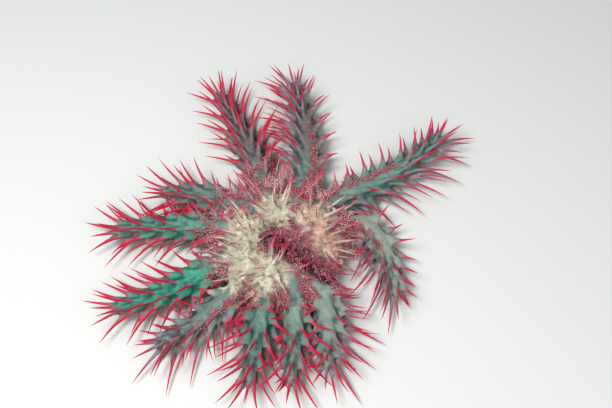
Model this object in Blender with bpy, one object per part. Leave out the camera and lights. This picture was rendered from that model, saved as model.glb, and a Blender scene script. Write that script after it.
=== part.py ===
"""Crown-of-thorns starfish at life size, lying on the floor with its eleven arms spread.

Metres, +Z up. The origin is the middle of the mouth, on the floor. The disc, the mouth and each arm are
closed solids of their own, parted by thin cuts. Spines are drawn out of the faces of the body they stand
on, and the tube feet are short pads with flat ends, all at floor level, that carry the animal.
"""

import math
import random
from collections import namedtuple

import bmesh
import bpy
import numpy as np
from mathutils import Vector
from mathutils.geometry import delaunay_2d_cdt

# ---- Driving dimensions, in metres and degrees ----------------------------------------------------

DISC_RADIUS = 0.059  # centre to the plane where each arm leaves the disc
UNDERSIDE = 0.005  # the flesh rides this high on its tube feet
CUT = 0.0003  # thin cut between neighbouring solids

ROOT_WIDTH = 0.025
ROOT_HEIGHT = 0.019
ROOT_CLEARANCE = 0.0012  # between the roots of two neighbouring arms
TAPER = 0.64  # share of width and height lost from root to tip
TAPER_CURVE = 1.4  # 1 is an even taper, more keeps the arm full until nearer its tip
MARGIN_LEVEL = 0.22  # height of the arm's widest line, as a share of its own height
BACK_FULLNESS = 0.9  # 1 rounds the back as an ellipse, less fills its shoulders out
CORE_LEVEL = 0.45  # height of the flesh's middle, as a share of its own height
GROOVE_DEPTH = 0.0025
GROOVE_EDGE = 0.10  # half widths of the groove's roof and of its mouth, as shares of the arm's width
GROOVE_MOUTH = 0.30
SEGMENT = 0.0088  # length of arm that carries one cross row of spines
LIFT_START = 0.6  # share of the arm where its tip starts to rise
TIP_BLUNTNESS = 0.5  # width of the arm's very end against the last full section
TIP_REACH = 0.3  # how far that end stands beyond the section, in its widths
TIP_RISE = 0.2  # and how far above its underside, in its heights

CROWN_HEIGHT = 0.035  # top of the disc's dome above the floor
CLEFT_DEPTH = 0.009  # the cleft that parts the disc's lobes, from its middle towards one side
CLEFT_RADIUS = 0.0085
CLEFT_START = (-0.008, -0.010)
CLEFT_END = (0.032, -0.031)
LOBE_HEIGHT = 0.0055  # puffed lobes on either side of the cleft
LOBE_RADIUS = 0.013
VALLEY_DEPTH = 0.010  # valleys that run in from the notches between arms
VALLEY_START = 0.024  # how far out they begin
VALLEY_SPREAD = 16  # bearing off the nearest arm at which a valley is deepest

MOUTH_RADIUS = 0.012
MOUTH_FOOT_RADIUS = 0.009
MOUTH_SURROUND = 0.001  # flat ring of the disc's underside outside the mouth

SPINE_RADIUS = 0.0026  # at a spine's foot
THINNEST_FOOT = 0.0009  # and where the face it stands on is narrow
FOOT_REACH = 0.72  # most of the way to the face's nearest corner that the foot may take
ROOT_SPINE = 0.025  # spine lengths: at an arm's root, along its outer half, at its tip, on the disc
OUTER_SPINE = 0.037
TIP_SPINE = 0.030
DISC_SPINE = 0.021
OUTER_SHARE = 0.4  # share of the arm where its spines reach their full length
FALL_SHARE = 0.65  # share of the arm where they start to shorten again
LENGTH_SPREAD = (0.88, 1.08)  # range of one spine's own length, against the wanted one
DISC_MIDDLE_SHARE = 0.72  # disc spines at its middle and at its rim, against DISC_SPINE
DISC_RIM_SHARE = 1.12
ON_LOBE_SHARE = 1.25  # disc spines in the middle of a lobe and off the lobes, against those
OFF_LOBE_SHARE = 0.9
CLEFT_SPINE_SHARE = 1.35  # spines in the cleft, against the rest of the disc's
BACK_SHARE = 0.8  # spines on the arm's back, against those on its sides
FULL_SIDE_SHARE = 1.12  # spines on an arm's full side, against those of an arm whose sides are alike
THIN_SIDE_SHARE = 0.55
BARE_CREST = 0.35  # share of the arm, from its root, that has no spines along the top
ONE_SIDED_BARE_CREST = 0.6  # the same, on an arm with a full and a thin side
BARE_BAND = 0.1  # half width of that bare band, and of its wider half on the thin side
THIN_SIDE_BAND = 0.5
DISC_CREST_START = 0.031  # how far out the arms' bare crests end on the disc
DISC_CREST_BEARING = 9  # half width of a crest there, in degrees
DISC_CREST_LOBE = 0.3  # lobe share past which a crest has given way to the lobe
SWEEP_CURVE = 1.5  # 1 turns the spines evenly from root_sweep to tip_sweep, more turns them nearer the tip
DROOP = 0.45  # how far the outermost spines of a full side hang, as a slope
EVEN_DROOP = 0.15  # the same, on an arm whose sides are alike
DISC_LEAN = 0.45  # how far a spine at the disc's rim leans outwards
LOBE_LEAN = 0.55  # how far a spine at a lobe's edge leans away from the lobe's middle
SPINE_GAP = 0.0005  # least clear space between two spines

# bearing: where the arm leaves the disc. root_heading and tip_heading: which way it runs, as seen from
# above, anticlockwise from +X. early: 1 where it bends evenly, and more where most of its bend is near the
# root. tip_lift: how far the tip is raised off its tube feet. full_side: +1 where the spines are longer on
# the arm's left, looking out along it, -1 where they are on its right, and 0 where its sides are alike.
# root_sweep and tip_sweep: how far its spines lean forward along it, as a slope.
Arm = namedtuple(
    "Arm", "bearing root_heading tip_heading early length tip_lift full_side root_sweep tip_sweep"
)
ARMS = (
    Arm(12, -4, -79, 2.8, 0.072, 0.003, -1, 0.1, 1.9),
    Arm(36, 26, 44, 1, 0.106, 0.005, -1, 0.1, 0.9),
    Arm(70, 84, 108, 1, 0.100, 0.003, 1, 0.05, 0.9),
    Arm(108, 108, 120, 1, 0.093, 0.005, 0, 0.5, 1.35),
    Arm(147, 158, 178, 1, 0.046, 0.006, 0, 0.5, 1.35),
    Arm(174, 170, 190, 1, 0.074, 0.005, 0, 0.5, 1.35),
    Arm(209, 212, 196, 1, 0.080, 0.004, 0, 0.5, 1.35),
    Arm(235, 226, 208, 1, 0.070, 0.005, 1, 0.6, 1.2),
    Arm(258, 260, 262, 1, 0.062, 0.003, 0, 0.5, 1.35),
    Arm(281, 272, 263, 1, 0.060, 0.003, 0, 0.5, 1.35),
    Arm(304, 284, 262, 1, 0.058, 0.003, 1, 0.4, 1.2),
)
# (bearing, distance from the middle) of each puffed lobe of the disc
LOBES = ((102, 0.016), (19, 0.028), (341, 0.038), (192, 0.026), (224, 0.045), (256, 0.040))

# ---- How finely each shape is faceted, and how spines find their room -----------------------------

BACK_POINTS = 8  # across the back, margin to margin: seven rows of faces, so seven rows of spines
DISC_RINGS = ((0.0505, 33), (0.041, 27), (0.031, 20), (0.021, 13), (0.011, 7))  # radius, points
UNDERSIDE_RINGS = (0.35, 0.7, 1.0)  # shares of the way in from the rim to the mouth
DISC_SPINES = 104
DISC_SPINE_REACH = 0.9  # the outermost, as a share of the disc's radius
LEAST_SPINE_FACE = 1.2e-5  # square metres
ARM_JITTER = 0.12  # random lean of a spine, as a slope
DISC_JITTER = 0.16
LENGTHS_TRIED = (1.0, 0.86, 0.72, 0.58, 0.46)  # shares of the wanted length, longest first
RISES_TRIED = (0.0, 0.3, 0.65, 1.1)  # how far a spine is raised to clear its neighbours, as a slope
SPINE_SAMPLES = 12  # points down a spine where its distance from the others is measured
FIRST_TESTED = 2  # the points before this one are in the flesh that the spine stands on

FOOT_SPANS = (0.08, 0.32, 0.56)  # shares of the arm at which it stands on a pair of foot pads
FOOT_SHARE = 0.62  # size of a pad's end against the face it comes from
FOOT_SPLAY = 0.0012
GOLDEN_ANGLE = math.radians(137.508)
RANDOM_SEED = 11

rng = random.Random(RANDOM_SEED)
placed_spines = []  # (sample points, radii) of every spine so far, so that none crosses another


def direction(degrees):
    """Unit vector on the floor at this bearing."""
    angle = math.radians(degrees)
    return Vector((math.cos(angle), math.sin(angle), 0))


def left_of(heading):
    return Vector((-heading.y, heading.x, 0))


def jitter(slope):
    return Vector([rng.uniform(-slope, slope) for _ in range(3)])


def blend(a, b, share):
    return a + (b - a) * share


def smooth(value):
    """0 to 1, eased at both ends."""
    value = min(1.0, max(0.0, value))
    return value * value * (3 - 2 * value)


# ---- The arm's run and section --------------------------------------------------------------------


def root_width(index):
    """The root's width, kept inside the wedge that its neighbours leave it."""
    bearing = ARMS[index].bearing
    after = (ARMS[(index + 1) % len(ARMS)].bearing - bearing) % 360
    before = (bearing - ARMS[index - 1].bearing) % 360
    half_wedge = math.radians(min(before, after) / 2)
    return min(ROOT_WIDTH, 2 * DISC_RADIUS * math.tan(half_wedge) - ROOT_CLEARANCE)


def heading_at(arm, share):
    """Which way the arm runs, as a unit vector, at this share of its length."""
    turned = 1 - (1 - share) ** arm.early
    return direction(blend(arm.root_heading, arm.tip_heading, turned))


def arm_line(arm):
    """(point on the floor, unit heading) at each cross row from root to tip."""
    point = direction(arm.bearing) * DISC_RADIUS
    stations = [(point, direction(arm.bearing))]
    count = round(arm.length / SEGMENT)
    for i in range(count):
        point = point + heading_at(arm, (i + 0.5) / count) * (arm.length / count)
        stations.append((point, heading_at(arm, (i + 1) / count)))
    return stations


def girth(index, share):
    """(width, height, floor clearance) of an arm at this share of its length."""
    keep = 1 - TAPER * share**TAPER_CURVE
    lift = ARMS[index].tip_lift * smooth((share - LIFT_START) / (1 - LIFT_START))
    return root_width(index) * keep, ROOT_HEIGHT * keep, UNDERSIDE + lift


def section(width, height, clearance):
    """(across, up) of the section's corners: over the back from right margin to left, then underneath."""
    margin = clearance + MARGIN_LEVEL * height
    corners = []
    for i in range(BACK_POINTS):
        angle = math.pi * i / (BACK_POINTS - 1)
        rise = (1 - MARGIN_LEVEL) * height * math.sin(angle) ** BACK_FULLNESS
        corners.append((-width / 2 * math.cos(angle), margin + rise))
    roof = clearance + min(GROOVE_DEPTH, height / 4)
    corners.append((GROOVE_MOUTH * width, clearance))
    corners.append((GROOVE_EDGE * width, roof))
    corners.append((-GROOVE_EDGE * width, roof))
    corners.append((-GROOVE_MOUTH * width, clearance))
    return corners


def set_across(corners, centre, heading):
    """The section's corners in space, in the upright plane square to the heading."""
    left = left_of(heading)
    return [centre + left * across + Vector((0, 0, up)) for across, up in corners]


def flesh_spheres(index):
    """(centre, radius) of spheres that fill an arm, for keeping other spines out of it."""
    stations = [point for point, _ in arm_line(ARMS[index])]
    halfway = [(near + far) / 2 for near, far in zip(stations, stations[1:])]
    spheres = []
    for points, first in ((stations, 0), (halfway, 0.5)):
        for i, point in enumerate(points):
            width, height, clearance = girth(index, (i + first) / len(halfway))
            spheres.append((point + Vector((0, 0, clearance + CORE_LEVEL * height)), width / 2))
    return spheres


# ---- Spines and tube feet -------------------------------------------------------------------------


def spine_samples(foot, tip, radius):
    """Points down a spine's middle, and its radius at each."""
    shares = np.linspace(0.0, 1.0, SPINE_SAMPLES)
    points = np.outer(1 - shares, foot) + np.outer(shares, tip)
    return points, radius * (1 - shares)


def is_clear(points, radii, keep_out):
    """True if this spine stands clear of the floor, of the spines placed so far and of the spheres."""
    if points[-1][2] < UNDERSIDE / 2:
        return False
    for centre, radius in keep_out:
        apart = np.linalg.norm(points[FIRST_TESTED:] - np.array(centre), axis=1)
        if (apart - radius - radii[FIRST_TESTED:] < SPINE_GAP).any():
            return False
    if not placed_spines:
        return True
    others = np.array([p for p, _ in placed_spines])
    other_radii = np.array([r for _, r in placed_spines])
    apart = np.linalg.norm(others[:, :, None] - points[None, None], axis=3)
    return bool((apart - other_radii[:, :, None] - radii[None, None] > SPINE_GAP).all())


def grow_spine(mesh, face, lean, length, keep_out):
    """Draws a face out to a point along lean, raised or shortened as far as its neighbours need."""
    foot = face.calc_center_median()
    reach = min((v.co - foot).length for v in face.verts)
    half_width = min(edge.calc_length() for edge in face.edges) / 2
    radius = min(SPINE_RADIUS, FOOT_REACH * reach, max(half_width, THINNEST_FOOT))
    for shrink in LENGTHS_TRIED:
        for rise in RISES_TRIED:
            tip = foot + (lean + Vector((0, 0, rise))).normalized() * length * shrink
            points, radii = spine_samples(foot, tip, radius)
            if is_clear(points, radii, keep_out):
                placed_spines.append((points, radii))
                draw_to_point(mesh, face, foot, tip, radius)
                return


def draw_to_point(mesh, face, foot, tip, radius):
    corners = [v.co.copy() for v in face.verts]
    bmesh.ops.inset_individual(mesh, faces=[face], thickness=0.1 * radius)
    for corner in corners:
        inner = min(face.verts, key=lambda v: (v.co - corner).length)
        inner.co = foot + (corner - foot).normalized() * radius
    bmesh.ops.poke(mesh, faces=[face])["verts"][0].co = tip


def lower_foot(mesh, face, outward):
    """Draws a face of the underside down to the floor as a pad with a flat, level end."""
    middle = face.calc_center_median()
    end = bmesh.ops.extrude_discrete_faces(mesh, faces=[face])["faces"][0]
    for vert in end.verts:
        vert.co = middle + outward + (vert.co - middle) * FOOT_SHARE
        vert.co.z = 0


# ---- Shared steps of building a solid -------------------------------------------------------------


def principled(name, colour, roughness):
    material = bpy.data.materials.new(name)
    material.use_nodes = True
    shader = material.node_tree.nodes["Principled BSDF"]
    shader.inputs["Base Color"].default_value = (*colour, 1)
    shader.inputs["Roughness"].default_value = roughness
    shader.inputs["Metallic"].default_value = 0.0
    return material


def add_object(name, mesh, collection, material):
    data = bpy.data.meshes.new(name)
    mesh.to_mesh(data)
    mesh.free()
    data.materials.append(material)
    collection.objects.link(bpy.data.objects.new(name, data))


def bridge(mesh, near, far):
    """Quads between two closed rings of the same count, listed in order round the ring."""
    count = len(near)
    return [
        mesh.faces.new((near[i], near[(i + 1) % count], far[(i + 1) % count], far[i]))
        for i in range(count)
    ]


# ---- Arms -----------------------------------------------------------------------------------------


def arm_body(mesh, index):
    """Lofts the arm's flesh. Returns its quads as rows[segment][place round the section]."""
    stations = arm_line(ARMS[index])
    last = len(stations) - 1
    outlines = []
    for i, (point, heading) in enumerate(stations):
        outlines.append(set_across(section(*girth(index, i / last)), point, heading))
    point, heading = stations[last]
    width, height, clearance = girth(index, 1)
    blunt = section(TIP_BLUNTNESS * width, TIP_BLUNTNESS * height, clearance + TIP_RISE * height)
    outlines.append(set_across(blunt, point + heading * TIP_REACH * width, heading))

    rings = [[mesh.verts.new(corner) for corner in outline] for outline in outlines]
    rows = [bridge(mesh, near, far) for near, far in zip(rings, rings[1:])]
    mesh.faces.new(rings[0])
    mesh.faces.new(rings[-1])
    bmesh.ops.recalc_face_normals(mesh, faces=mesh.faces)
    return rows


def arm_spine_length(share, side, full_side):
    """Spine length at this share of the arm. Side runs from -1 at its right margin to 1 at its left."""
    length = blend(ROOT_SPINE, OUTER_SPINE, smooth(share / OUTER_SHARE))
    length = blend(length, TIP_SPINE, smooth((share - FALL_SHARE) / (1 - FALL_SHARE)))
    length *= blend(BACK_SHARE, 1, abs(side))
    one_sided = FULL_SIDE_SHARE if side * full_side > 0 else THIN_SIDE_SHARE
    return length * blend(1, one_sided, abs(side * full_side)) * rng.uniform(*LENGTH_SPREAD)


def on_bare_crest(share, side, full_side):
    reach = ONE_SIDED_BARE_CREST if full_side else BARE_CREST
    band = THIN_SIDE_BAND if side * full_side < 0 else BARE_BAND
    return share < reach and abs(side) < band


def arm_spine_lean(arm, normal, heading, share, side):
    """Out from the flesh, forward along the arm and, at the sides, a little down."""
    sweep = blend(arm.root_sweep, arm.tip_sweep, share**SWEEP_CURVE)
    droop = DROOP * max(0, side * arm.full_side) if arm.full_side else EVEN_DROOP * abs(side)
    return normal + heading * sweep - Vector((0, 0, droop)) + jitter(ARM_JITTER)


def grow_arm_spines(mesh, index, rows):
    """Spines from every other face of the back, staggered, leaning further forward towards the tip."""
    arm = ARMS[index]
    others = [s for i in range(len(ARMS)) if i != index for s in flesh_spheres(i)]
    last_row = BACK_POINTS - 2
    for i, (row, (_, heading)) in enumerate(zip(rows, arm_line(arm))):
        share = (i + 0.5) / len(rows)
        for j in range(last_row + 1):
            at_root_corner = i == 0 and j in (0, last_row)
            side = 2 * j / last_row - 1
            if (i + j) % 2 or at_root_corner or on_bare_crest(share, side, arm.full_side):
                continue
            length = arm_spine_length(share, side, arm.full_side)
            lean = arm_spine_lean(arm, row[j].normal, heading, share, side)
            grow_spine(mesh, row[j], lean, length, others)


def lower_arm_feet(mesh, index, rows):
    """Pairs of pads under the arm, either side of its groove, where it isn't lifted off the floor."""
    stations = arm_line(ARMS[index])
    left_face, right_face = BACK_POINTS, BACK_POINTS + 2
    for share in FOOT_SPANS:
        i = round(share * len(rows))
        splay = left_of(stations[i][1]) * FOOT_SPLAY
        lower_foot(mesh, rows[i][left_face], splay)
        lower_foot(mesh, rows[i][right_face], -splay)


def make_arm(index, collection):
    mesh = bmesh.new()
    rows = arm_body(mesh, index)
    grow_arm_spines(mesh, index, rows)
    lower_arm_feet(mesh, index, rows)
    name = f"arm_{index + 1:02d}"
    add_object(name, mesh, collection, principled(f"{name}_flesh", (0.20, 0.27, 0.25), 0.55))


# ---- Disc and mouth -------------------------------------------------------------------------------


def in_cleft(x, y):
    """1 along the middle of the cleft, fading to 0 off it."""
    start, end, point = Vector(CLEFT_START), Vector(CLEFT_END), Vector((x, y))
    run = end - start
    share = min(1.0, max(0.0, (point - start).dot(run) / run.length_squared))
    away = (point - start - run * share).length
    return math.exp(-((away / CLEFT_RADIUS) ** 2))


def off_lobes(point):
    """The way to this point from the middle of each lobe, in lobe radii."""
    return [(point - direction(bearing) * distance) / LOBE_RADIUS for bearing, distance in LOBES]


def lobe_share(point):
    """1 in the middle of a lobe, fading to 0 off them all."""
    nearest = min(away.length for away in off_lobes(Vector((point.x, point.y, 0))))
    return math.exp(-(nearest**2))


def bearing_off_arms(x, y):
    """Degrees from this point's bearing to the nearest arm's."""
    bearing = math.degrees(math.atan2(y, x))
    return min(abs((bearing - arm.bearing + 180) % 360 - 180) for arm in ARMS)


def on_disc_crest(point):
    """True where an arm's bare crest runs in over the disc."""
    out = math.hypot(point.x, point.y)
    near_arm = bearing_off_arms(point.x, point.y) < DISC_CREST_BEARING
    return out > DISC_CREST_START and near_arm and lobe_share(point) < DISC_CREST_LOBE


def disc_height(x, y):
    """Height of the disc's top over the floor: a dome with a cleft, puffed lobes and radial valleys."""
    out = math.hypot(x, y)
    height = blend(CROWN_HEIGHT, UNDERSIDE + ROOT_HEIGHT, (out / DISC_RADIUS) ** 2)
    height -= CLEFT_DEPTH * in_cleft(x, y)
    for away in off_lobes(Vector((x, y, 0))):
        height += LOBE_HEIGHT * math.exp(-away.length_squared)
    fade_in = smooth((out - VALLEY_START) / (DISC_RADIUS - VALLEY_START))
    return height - VALLEY_DEPTH * fade_in * min(1.0, bearing_off_arms(x, y) / VALLEY_SPREAD) ** 2


def toward_mouth(rim_point, share):
    """A point of the underside, this share of the way from the rim to the mouth's edge."""
    flat = Vector((rim_point.x, rim_point.y, 0))
    goal = flat.normalized() * (MOUTH_RADIUS + MOUTH_SURROUND)
    inward = flat.lerp(goal, share)
    inward.z = blend(rim_point.z, UNDERSIDE, share)
    return inward


def disc_facets(mesh):
    """For each arm, the upright facet that faces its root, a thin cut inside it."""
    facets = []
    for index, arm in enumerate(ARMS):
        outward = direction(arm.bearing)
        corners = set_across(section(*girth(index, 0)), outward * (DISC_RADIUS - CUT), outward)
        facets.append([mesh.verts.new(corner) for corner in corners])
        mesh.faces.new(facets[-1])
    return facets


def disc_top(mesh, facets):
    """Triangles over the disc, between the facets' upper edges and rings of points on its dome."""
    rim = [v for facet in facets for v in facet[:BACK_POINTS]]
    inner = [mesh.verts.new((0, 0, disc_height(0, 0)))]
    for radius, count in DISC_RINGS:
        for i in range(count):
            angle = 2 * math.pi * (i + 0.5 * (count % 2)) / count
            x, y = radius * math.cos(angle), radius * math.sin(angle)
            inner.append(mesh.verts.new((x, y, disc_height(x, y))))
    points = rim + inner
    outline = [(i, (i + 1) % len(rim)) for i in range(len(rim))]
    triangles = delaunay_2d_cdt([v.co.to_2d() for v in points], outline, [], 1, 1e-7)[2]
    return [mesh.faces.new([points[i] for i in corners]) for corners in triangles]


def disc_underside(mesh, facets):
    """Rings that carry the arms' grooves in from the facets' lower edges to the mouth."""
    ring = []
    for facet in facets:
        ring += [facet[0], *reversed(facet[BACK_POINTS:]), facet[BACK_POINTS - 1]]
    rim_points = [v.co.copy() for v in ring]
    for share in UNDERSIDE_RINGS:
        inward = [mesh.verts.new(toward_mouth(point, share)) for point in rim_points]
        bridge(mesh, ring, inward)
        ring = inward
    mesh.faces.new(ring)


def disc_spine_lean(normal, foot):
    """Out from the flesh, out from the disc's middle, and away from the middle of the nearest lobe."""
    level = Vector((foot.x, foot.y, 0))
    off_lobe = min(off_lobes(level), key=lambda away: away.length)
    fan = off_lobe / max(1.0, off_lobe.length)
    return normal + level / DISC_RADIUS * DISC_LEAN + fan * LOBE_LEAN + jitter(DISC_JITTER)


def grow_disc_spines(mesh, top):
    """Spines in a sunflower pattern over the disc, off the arms' crests and fanned out from each lobe."""
    arms = [s for i in range(len(ARMS)) for s in flesh_spheres(i)]
    free = {face: face.calc_center_median() for face in top if face.calc_area() > LEAST_SPINE_FACE}
    for i in range(DISC_SPINES):
        out = DISC_SPINE_REACH * DISC_RADIUS * math.sqrt((i + 0.5) / DISC_SPINES)
        x, y = out * math.cos(i * GOLDEN_ANGLE), out * math.sin(i * GOLDEN_ANGLE)
        face = min(free, key=lambda f: math.hypot(free[f].x - x, free[f].y - y))
        middle = free.pop(face)
        if on_disc_crest(middle):
            continue
        length = DISC_SPINE * blend(DISC_MIDDLE_SHARE, DISC_RIM_SHARE, out / DISC_RADIUS)
        length *= blend(OFF_LOBE_SHARE, ON_LOBE_SHARE, lobe_share(middle))
        length *= blend(1, CLEFT_SPINE_SHARE, in_cleft(middle.x, middle.y)) * rng.uniform(*LENGTH_SPREAD)
        grow_spine(mesh, face, disc_spine_lean(face.normal, middle), length, arms)


def make_disc(collection):
    mesh = bmesh.new()
    facets = disc_facets(mesh)
    top = disc_top(mesh, facets)
    disc_underside(mesh, facets)
    bmesh.ops.recalc_face_normals(mesh, faces=mesh.faces)
    grow_disc_spines(mesh, top)
    add_object("disc", mesh, collection, principled("disc_flesh", (0.55, 0.46, 0.34), 0.6))


def make_mouth(collection):
    """The mouth's soft lip: a low truncated cone whose flat foot is on the floor."""
    mesh = bmesh.new()
    depth = UNDERSIDE - CUT
    made = bmesh.ops.create_cone(
        mesh, cap_ends=True, segments=22, radius1=MOUTH_FOOT_RADIUS, radius2=MOUTH_RADIUS, depth=depth
    )
    bmesh.ops.translate(mesh, verts=made["verts"], vec=(0, 0, depth / 2))
    add_object("mouth", mesh, collection, principled("mouth_lip", (0.62, 0.36, 0.26), 0.5))


def main():
    for obj in list(bpy.data.objects):
        bpy.data.objects.remove(obj)
    collection = bpy.data.collections.new("crown_of_thorns_starfish")
    bpy.context.scene.collection.children.link(collection)
    make_disc(collection)
    make_mouth(collection)
    for index in range(len(ARMS)):
        make_arm(index, collection)


main()
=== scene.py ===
"""Crown-of-thorns starfish: living skin, spines, skin gills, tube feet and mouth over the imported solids.

Metres, +Z up, in the frame's own axes. One skin covers the disc and the eleven arms. It is grown from the
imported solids, and every spine stands where its solid one does.
"""

import math
import random
from collections import namedtuple

import bmesh
import bpy
import numpy as np
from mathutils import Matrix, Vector, noise
from mathutils.bvhtree import BVHTree
from mathutils.kdtree import KDTree


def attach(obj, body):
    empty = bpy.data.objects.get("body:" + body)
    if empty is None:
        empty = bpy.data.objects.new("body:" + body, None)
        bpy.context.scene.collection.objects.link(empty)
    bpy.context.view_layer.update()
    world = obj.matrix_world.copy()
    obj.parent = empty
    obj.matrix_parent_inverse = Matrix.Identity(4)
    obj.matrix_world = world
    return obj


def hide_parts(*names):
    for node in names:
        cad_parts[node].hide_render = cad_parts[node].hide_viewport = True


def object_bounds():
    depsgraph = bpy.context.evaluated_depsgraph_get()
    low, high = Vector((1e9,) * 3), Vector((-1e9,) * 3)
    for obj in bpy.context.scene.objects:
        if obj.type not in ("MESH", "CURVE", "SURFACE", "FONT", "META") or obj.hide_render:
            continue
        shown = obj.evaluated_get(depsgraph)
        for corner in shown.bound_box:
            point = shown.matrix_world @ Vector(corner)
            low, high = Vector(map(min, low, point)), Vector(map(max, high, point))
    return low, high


MM = 0.001

# ---- Sizes ----------------------------------------------------------------------------------------

DISC_RADIUS = 59 * MM  # centre to where each arm leaves the disc
ROOT_WIDTH = 25 * MM
TAPER = 0.64  # share of an arm's width lost from root to tip
TAPER_CURVE = 1.4  # 1 is an even taper, more keeps the arm full until nearer its tip
UNDERSIDE = 5 * MM
MOUTH_RADIUS = 12 * MM

# bearing: where the arm leaves the disc, in degrees anticlockwise from +X, seen from above. root_heading and
# tip_heading: which way it runs. early: 1 where it bends evenly, more where it bends mostly near its root.
# full_side: +1 where the spines are longer on the arm's left, looking outwards, -1 where they are on its
# right. comb: how closely the shorter spines of its full side stand, against those of other arms. gill_side:
# the side of the crest that its band of gills is on. green: how much of the brighter teal its skin has.
# mauve: how much of a dark reddish brown, partly the skin's own flush and partly painted shade.
# bloom: how much of a paler grey.
Arm = namedtuple(
    "Arm", "bearing root_heading tip_heading early length full_side comb gill_side green mauve bloom"
)
ARMS = (
    Arm(12, -4, -79, 2.8, 72 * MM, -1, 0.72, -1, 0.20, 0.1, 0.8),
    Arm(36, 26, 44, 1, 106 * MM, -1, 0.95, 1, 0.26, 0.0, 0.1),
    Arm(70, 84, 108, 1, 100 * MM, 1, 0.72, -1, 0.20, 0.85, 0.0),
    Arm(108, 108, 120, 1, 93 * MM, 0, 1, 0, 0.15, 1.0, 0.0),
    Arm(147, 158, 178, 1, 46 * MM, 0, 1, 0, 0.35, 0.5, 0.0),
    Arm(174, 170, 190, 1, 74 * MM, 0, 1, 0, 0.60, 0.1, 0.0),
    Arm(209, 212, 196, 1, 80 * MM, 0, 1, 0, 0.90, 0.0, 0.0),
    Arm(235, 226, 208, 1, 70 * MM, 1, 0.72, 1, 0.20, 0.35, 0.1),
    Arm(258, 260, 262, 1, 62 * MM, 0, 1, 0, 0.40, 0.2, 0.0),
    Arm(281, 272, 263, 1, 60 * MM, 0, 1, 0, 0.30, 0.2, 0.2),
    Arm(304, 284, 262, 1, 58 * MM, 1, 0.72, 0, 0.30, 0.3, 0.4),
)
# The disc's pale puffed lobes. rosy is how far each leans from straw colour to salmon.
Lobe = namedtuple("Lobe", "bearing distance radius rosy")
LOBES = (
    Lobe(bearing=102, distance=16 * MM, radius=16 * MM, rosy=0.05),
    Lobe(bearing=19, distance=28 * MM, radius=14 * MM, rosy=0.9),
    Lobe(bearing=341, distance=38 * MM, radius=12 * MM, rosy=1.0),
    Lobe(bearing=192, distance=26 * MM, radius=18 * MM, rosy=0.0),
    Lobe(bearing=224, distance=45 * MM, radius=17 * MM, rosy=0.0),
    Lobe(bearing=256, distance=40 * MM, radius=16 * MM, rosy=0.1),
)
# Crimson patches of close-set gills: (x, y, radius) of each
GILL_PATCHES = (
    (52 * MM, 8 * MM, 10 * MM),
    (2 * MM, -5 * MM, 5 * MM),
    (25 * MM, 38 * MM, 9 * MM),
    (34 * MM, 31 * MM, 6 * MM),
    (12 * MM, 14 * MM, 4 * MM),
    (-8 * MM, 46 * MM, 8 * MM),
    (-43 * MM, 14 * MM, 7 * MM),
    (-54 * MM, -5 * MM, 8 * MM),
    (-46 * MM, -31 * MM, 6 * MM),
)
# The sunken red cleft that parts the lobes
CLEFT_START, CLEFT_END = np.array((-8 * MM, -10 * MM)), np.array((37 * MM, -38 * MM))
CLEFT_RADIUS = 10 * MM

LINE_STEPS = 60  # steps along each arm's middle line
MARGIN_LEVEL = 9 * MM  # height of the arms' widest line: above it is the back, below it the underside
RISE_OF_TIPS = 3 * MM
HALF_WEDGE = 16  # most degrees from an arm's bearing to the valley beside it, on the disc

SKIN_GRAIN = 1.05 * MM  # edge of the skin's mesh, before it is thinned
SKIN_TRIANGLES = 190_000
SETTLING = (0.6, -0.62) * 9  # the steps that smooth the skin, in and out by turns, so that nothing shrinks
ROOT_SINK = 4 * MM  # how far each arm's root is pushed into the disc
ROOT_LEVEL = 15 * MM  # the height that a root's corners are drawn towards, by this share
ROOT_PINCH = 0.06
FLARE_SPREAD = 2.6 * MM  # how much wider than the spine the skin's cone is at the spine's foot
FLARE_FALL = 4.6 * MM  # height in which that spread falls by two thirds
FLARE_HEIGHT = 15 * MM
FLARE_ROOT = 3 * MM  # how far below the spine's foot the cone starts
FLARE_SINK = 0.3 * MM
FLARE_RINGS = 10
THINNER_TO_TIP = 0.4  # share of a cone's or a fold's thickness lost from an arm's root to its tip
ROOM_FOR_WEB = 8 * MM  # a spine nearer than this to the next arm has less of a web, so that none bridges two
WEB_SPREAD = 5.8 * MM  # the cone's spread along the arm, where it is drawn out into a web
WEB_ON_DISC = 0.55  # how much of that drawing out the disc's spines have
FOLD_LENGTH = 21 * MM  # the long fold of skin that runs out along an arm to a spine's foot
FOLD_ON_DISC = 9 * MM
FOLD_RADIUS = 2.1 * MM
FOLD_SINK = 0.6 * MM  # how deep in the skin a fold's low end runs
FOLD_START = 18 * MM  # how much nearer the disc than the spine the fold leaves the arm's crest
FOLD_RINGS = 8
FOLD_MARK = 2.4 * MM  # skin this close to a fold's ridge starts to be marked as part of it
BARE_CREST = 0.5  # share of an arm, from its root, that has no spines along the top
ONE_SIDED_BARE_CREST = 0.6  # the same, on an arm with a full and a thin side
BARE_BAND = 0.45  # half width of that bare band in half widths of the arm, and on the arm's thin side
THIN_SIDE_BAND = 0.75
SPINE_RADIUS = 1.35 * MM
SPINE_BULGE = 1.8  # 1 is a straight cone, more is fuller in the middle
BOW_ON_DISC = (0.0, 0.05)  # least and most that a spine's middle is bent aside, in shares of its length
BOW_ON_ARM = (0.02, 0.07)
FILL_IN_ARM = 8.2 * MM  # the shorter spines between the frame's own keep this far from them and each other
FILL_IN_DISC = 8.5 * MM
FILL_IN_LOBE = 5.2 * MM
FILL_IN_CLEFT = 3.5 * MM
CLOSER_TO_TIP = 0.45  # share of that distance lost from an arm's root to its tip
THIN_SIDE_SPACING = 1.35  # how much farther apart they stand on an arm's thin side
COMB_EDGE = 0.3  # how far off the crest the close-set comb of an arm's full side begins
STRAY_LEAN = 0.25  # how far they lean at random, and how far in the cleft
STRAY_LEAN_IN_CLEFT = 0.75
LENGTH_ON_DISC = (0.8, 1.15)  # least and most length, against the frame's own spines round them
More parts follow.
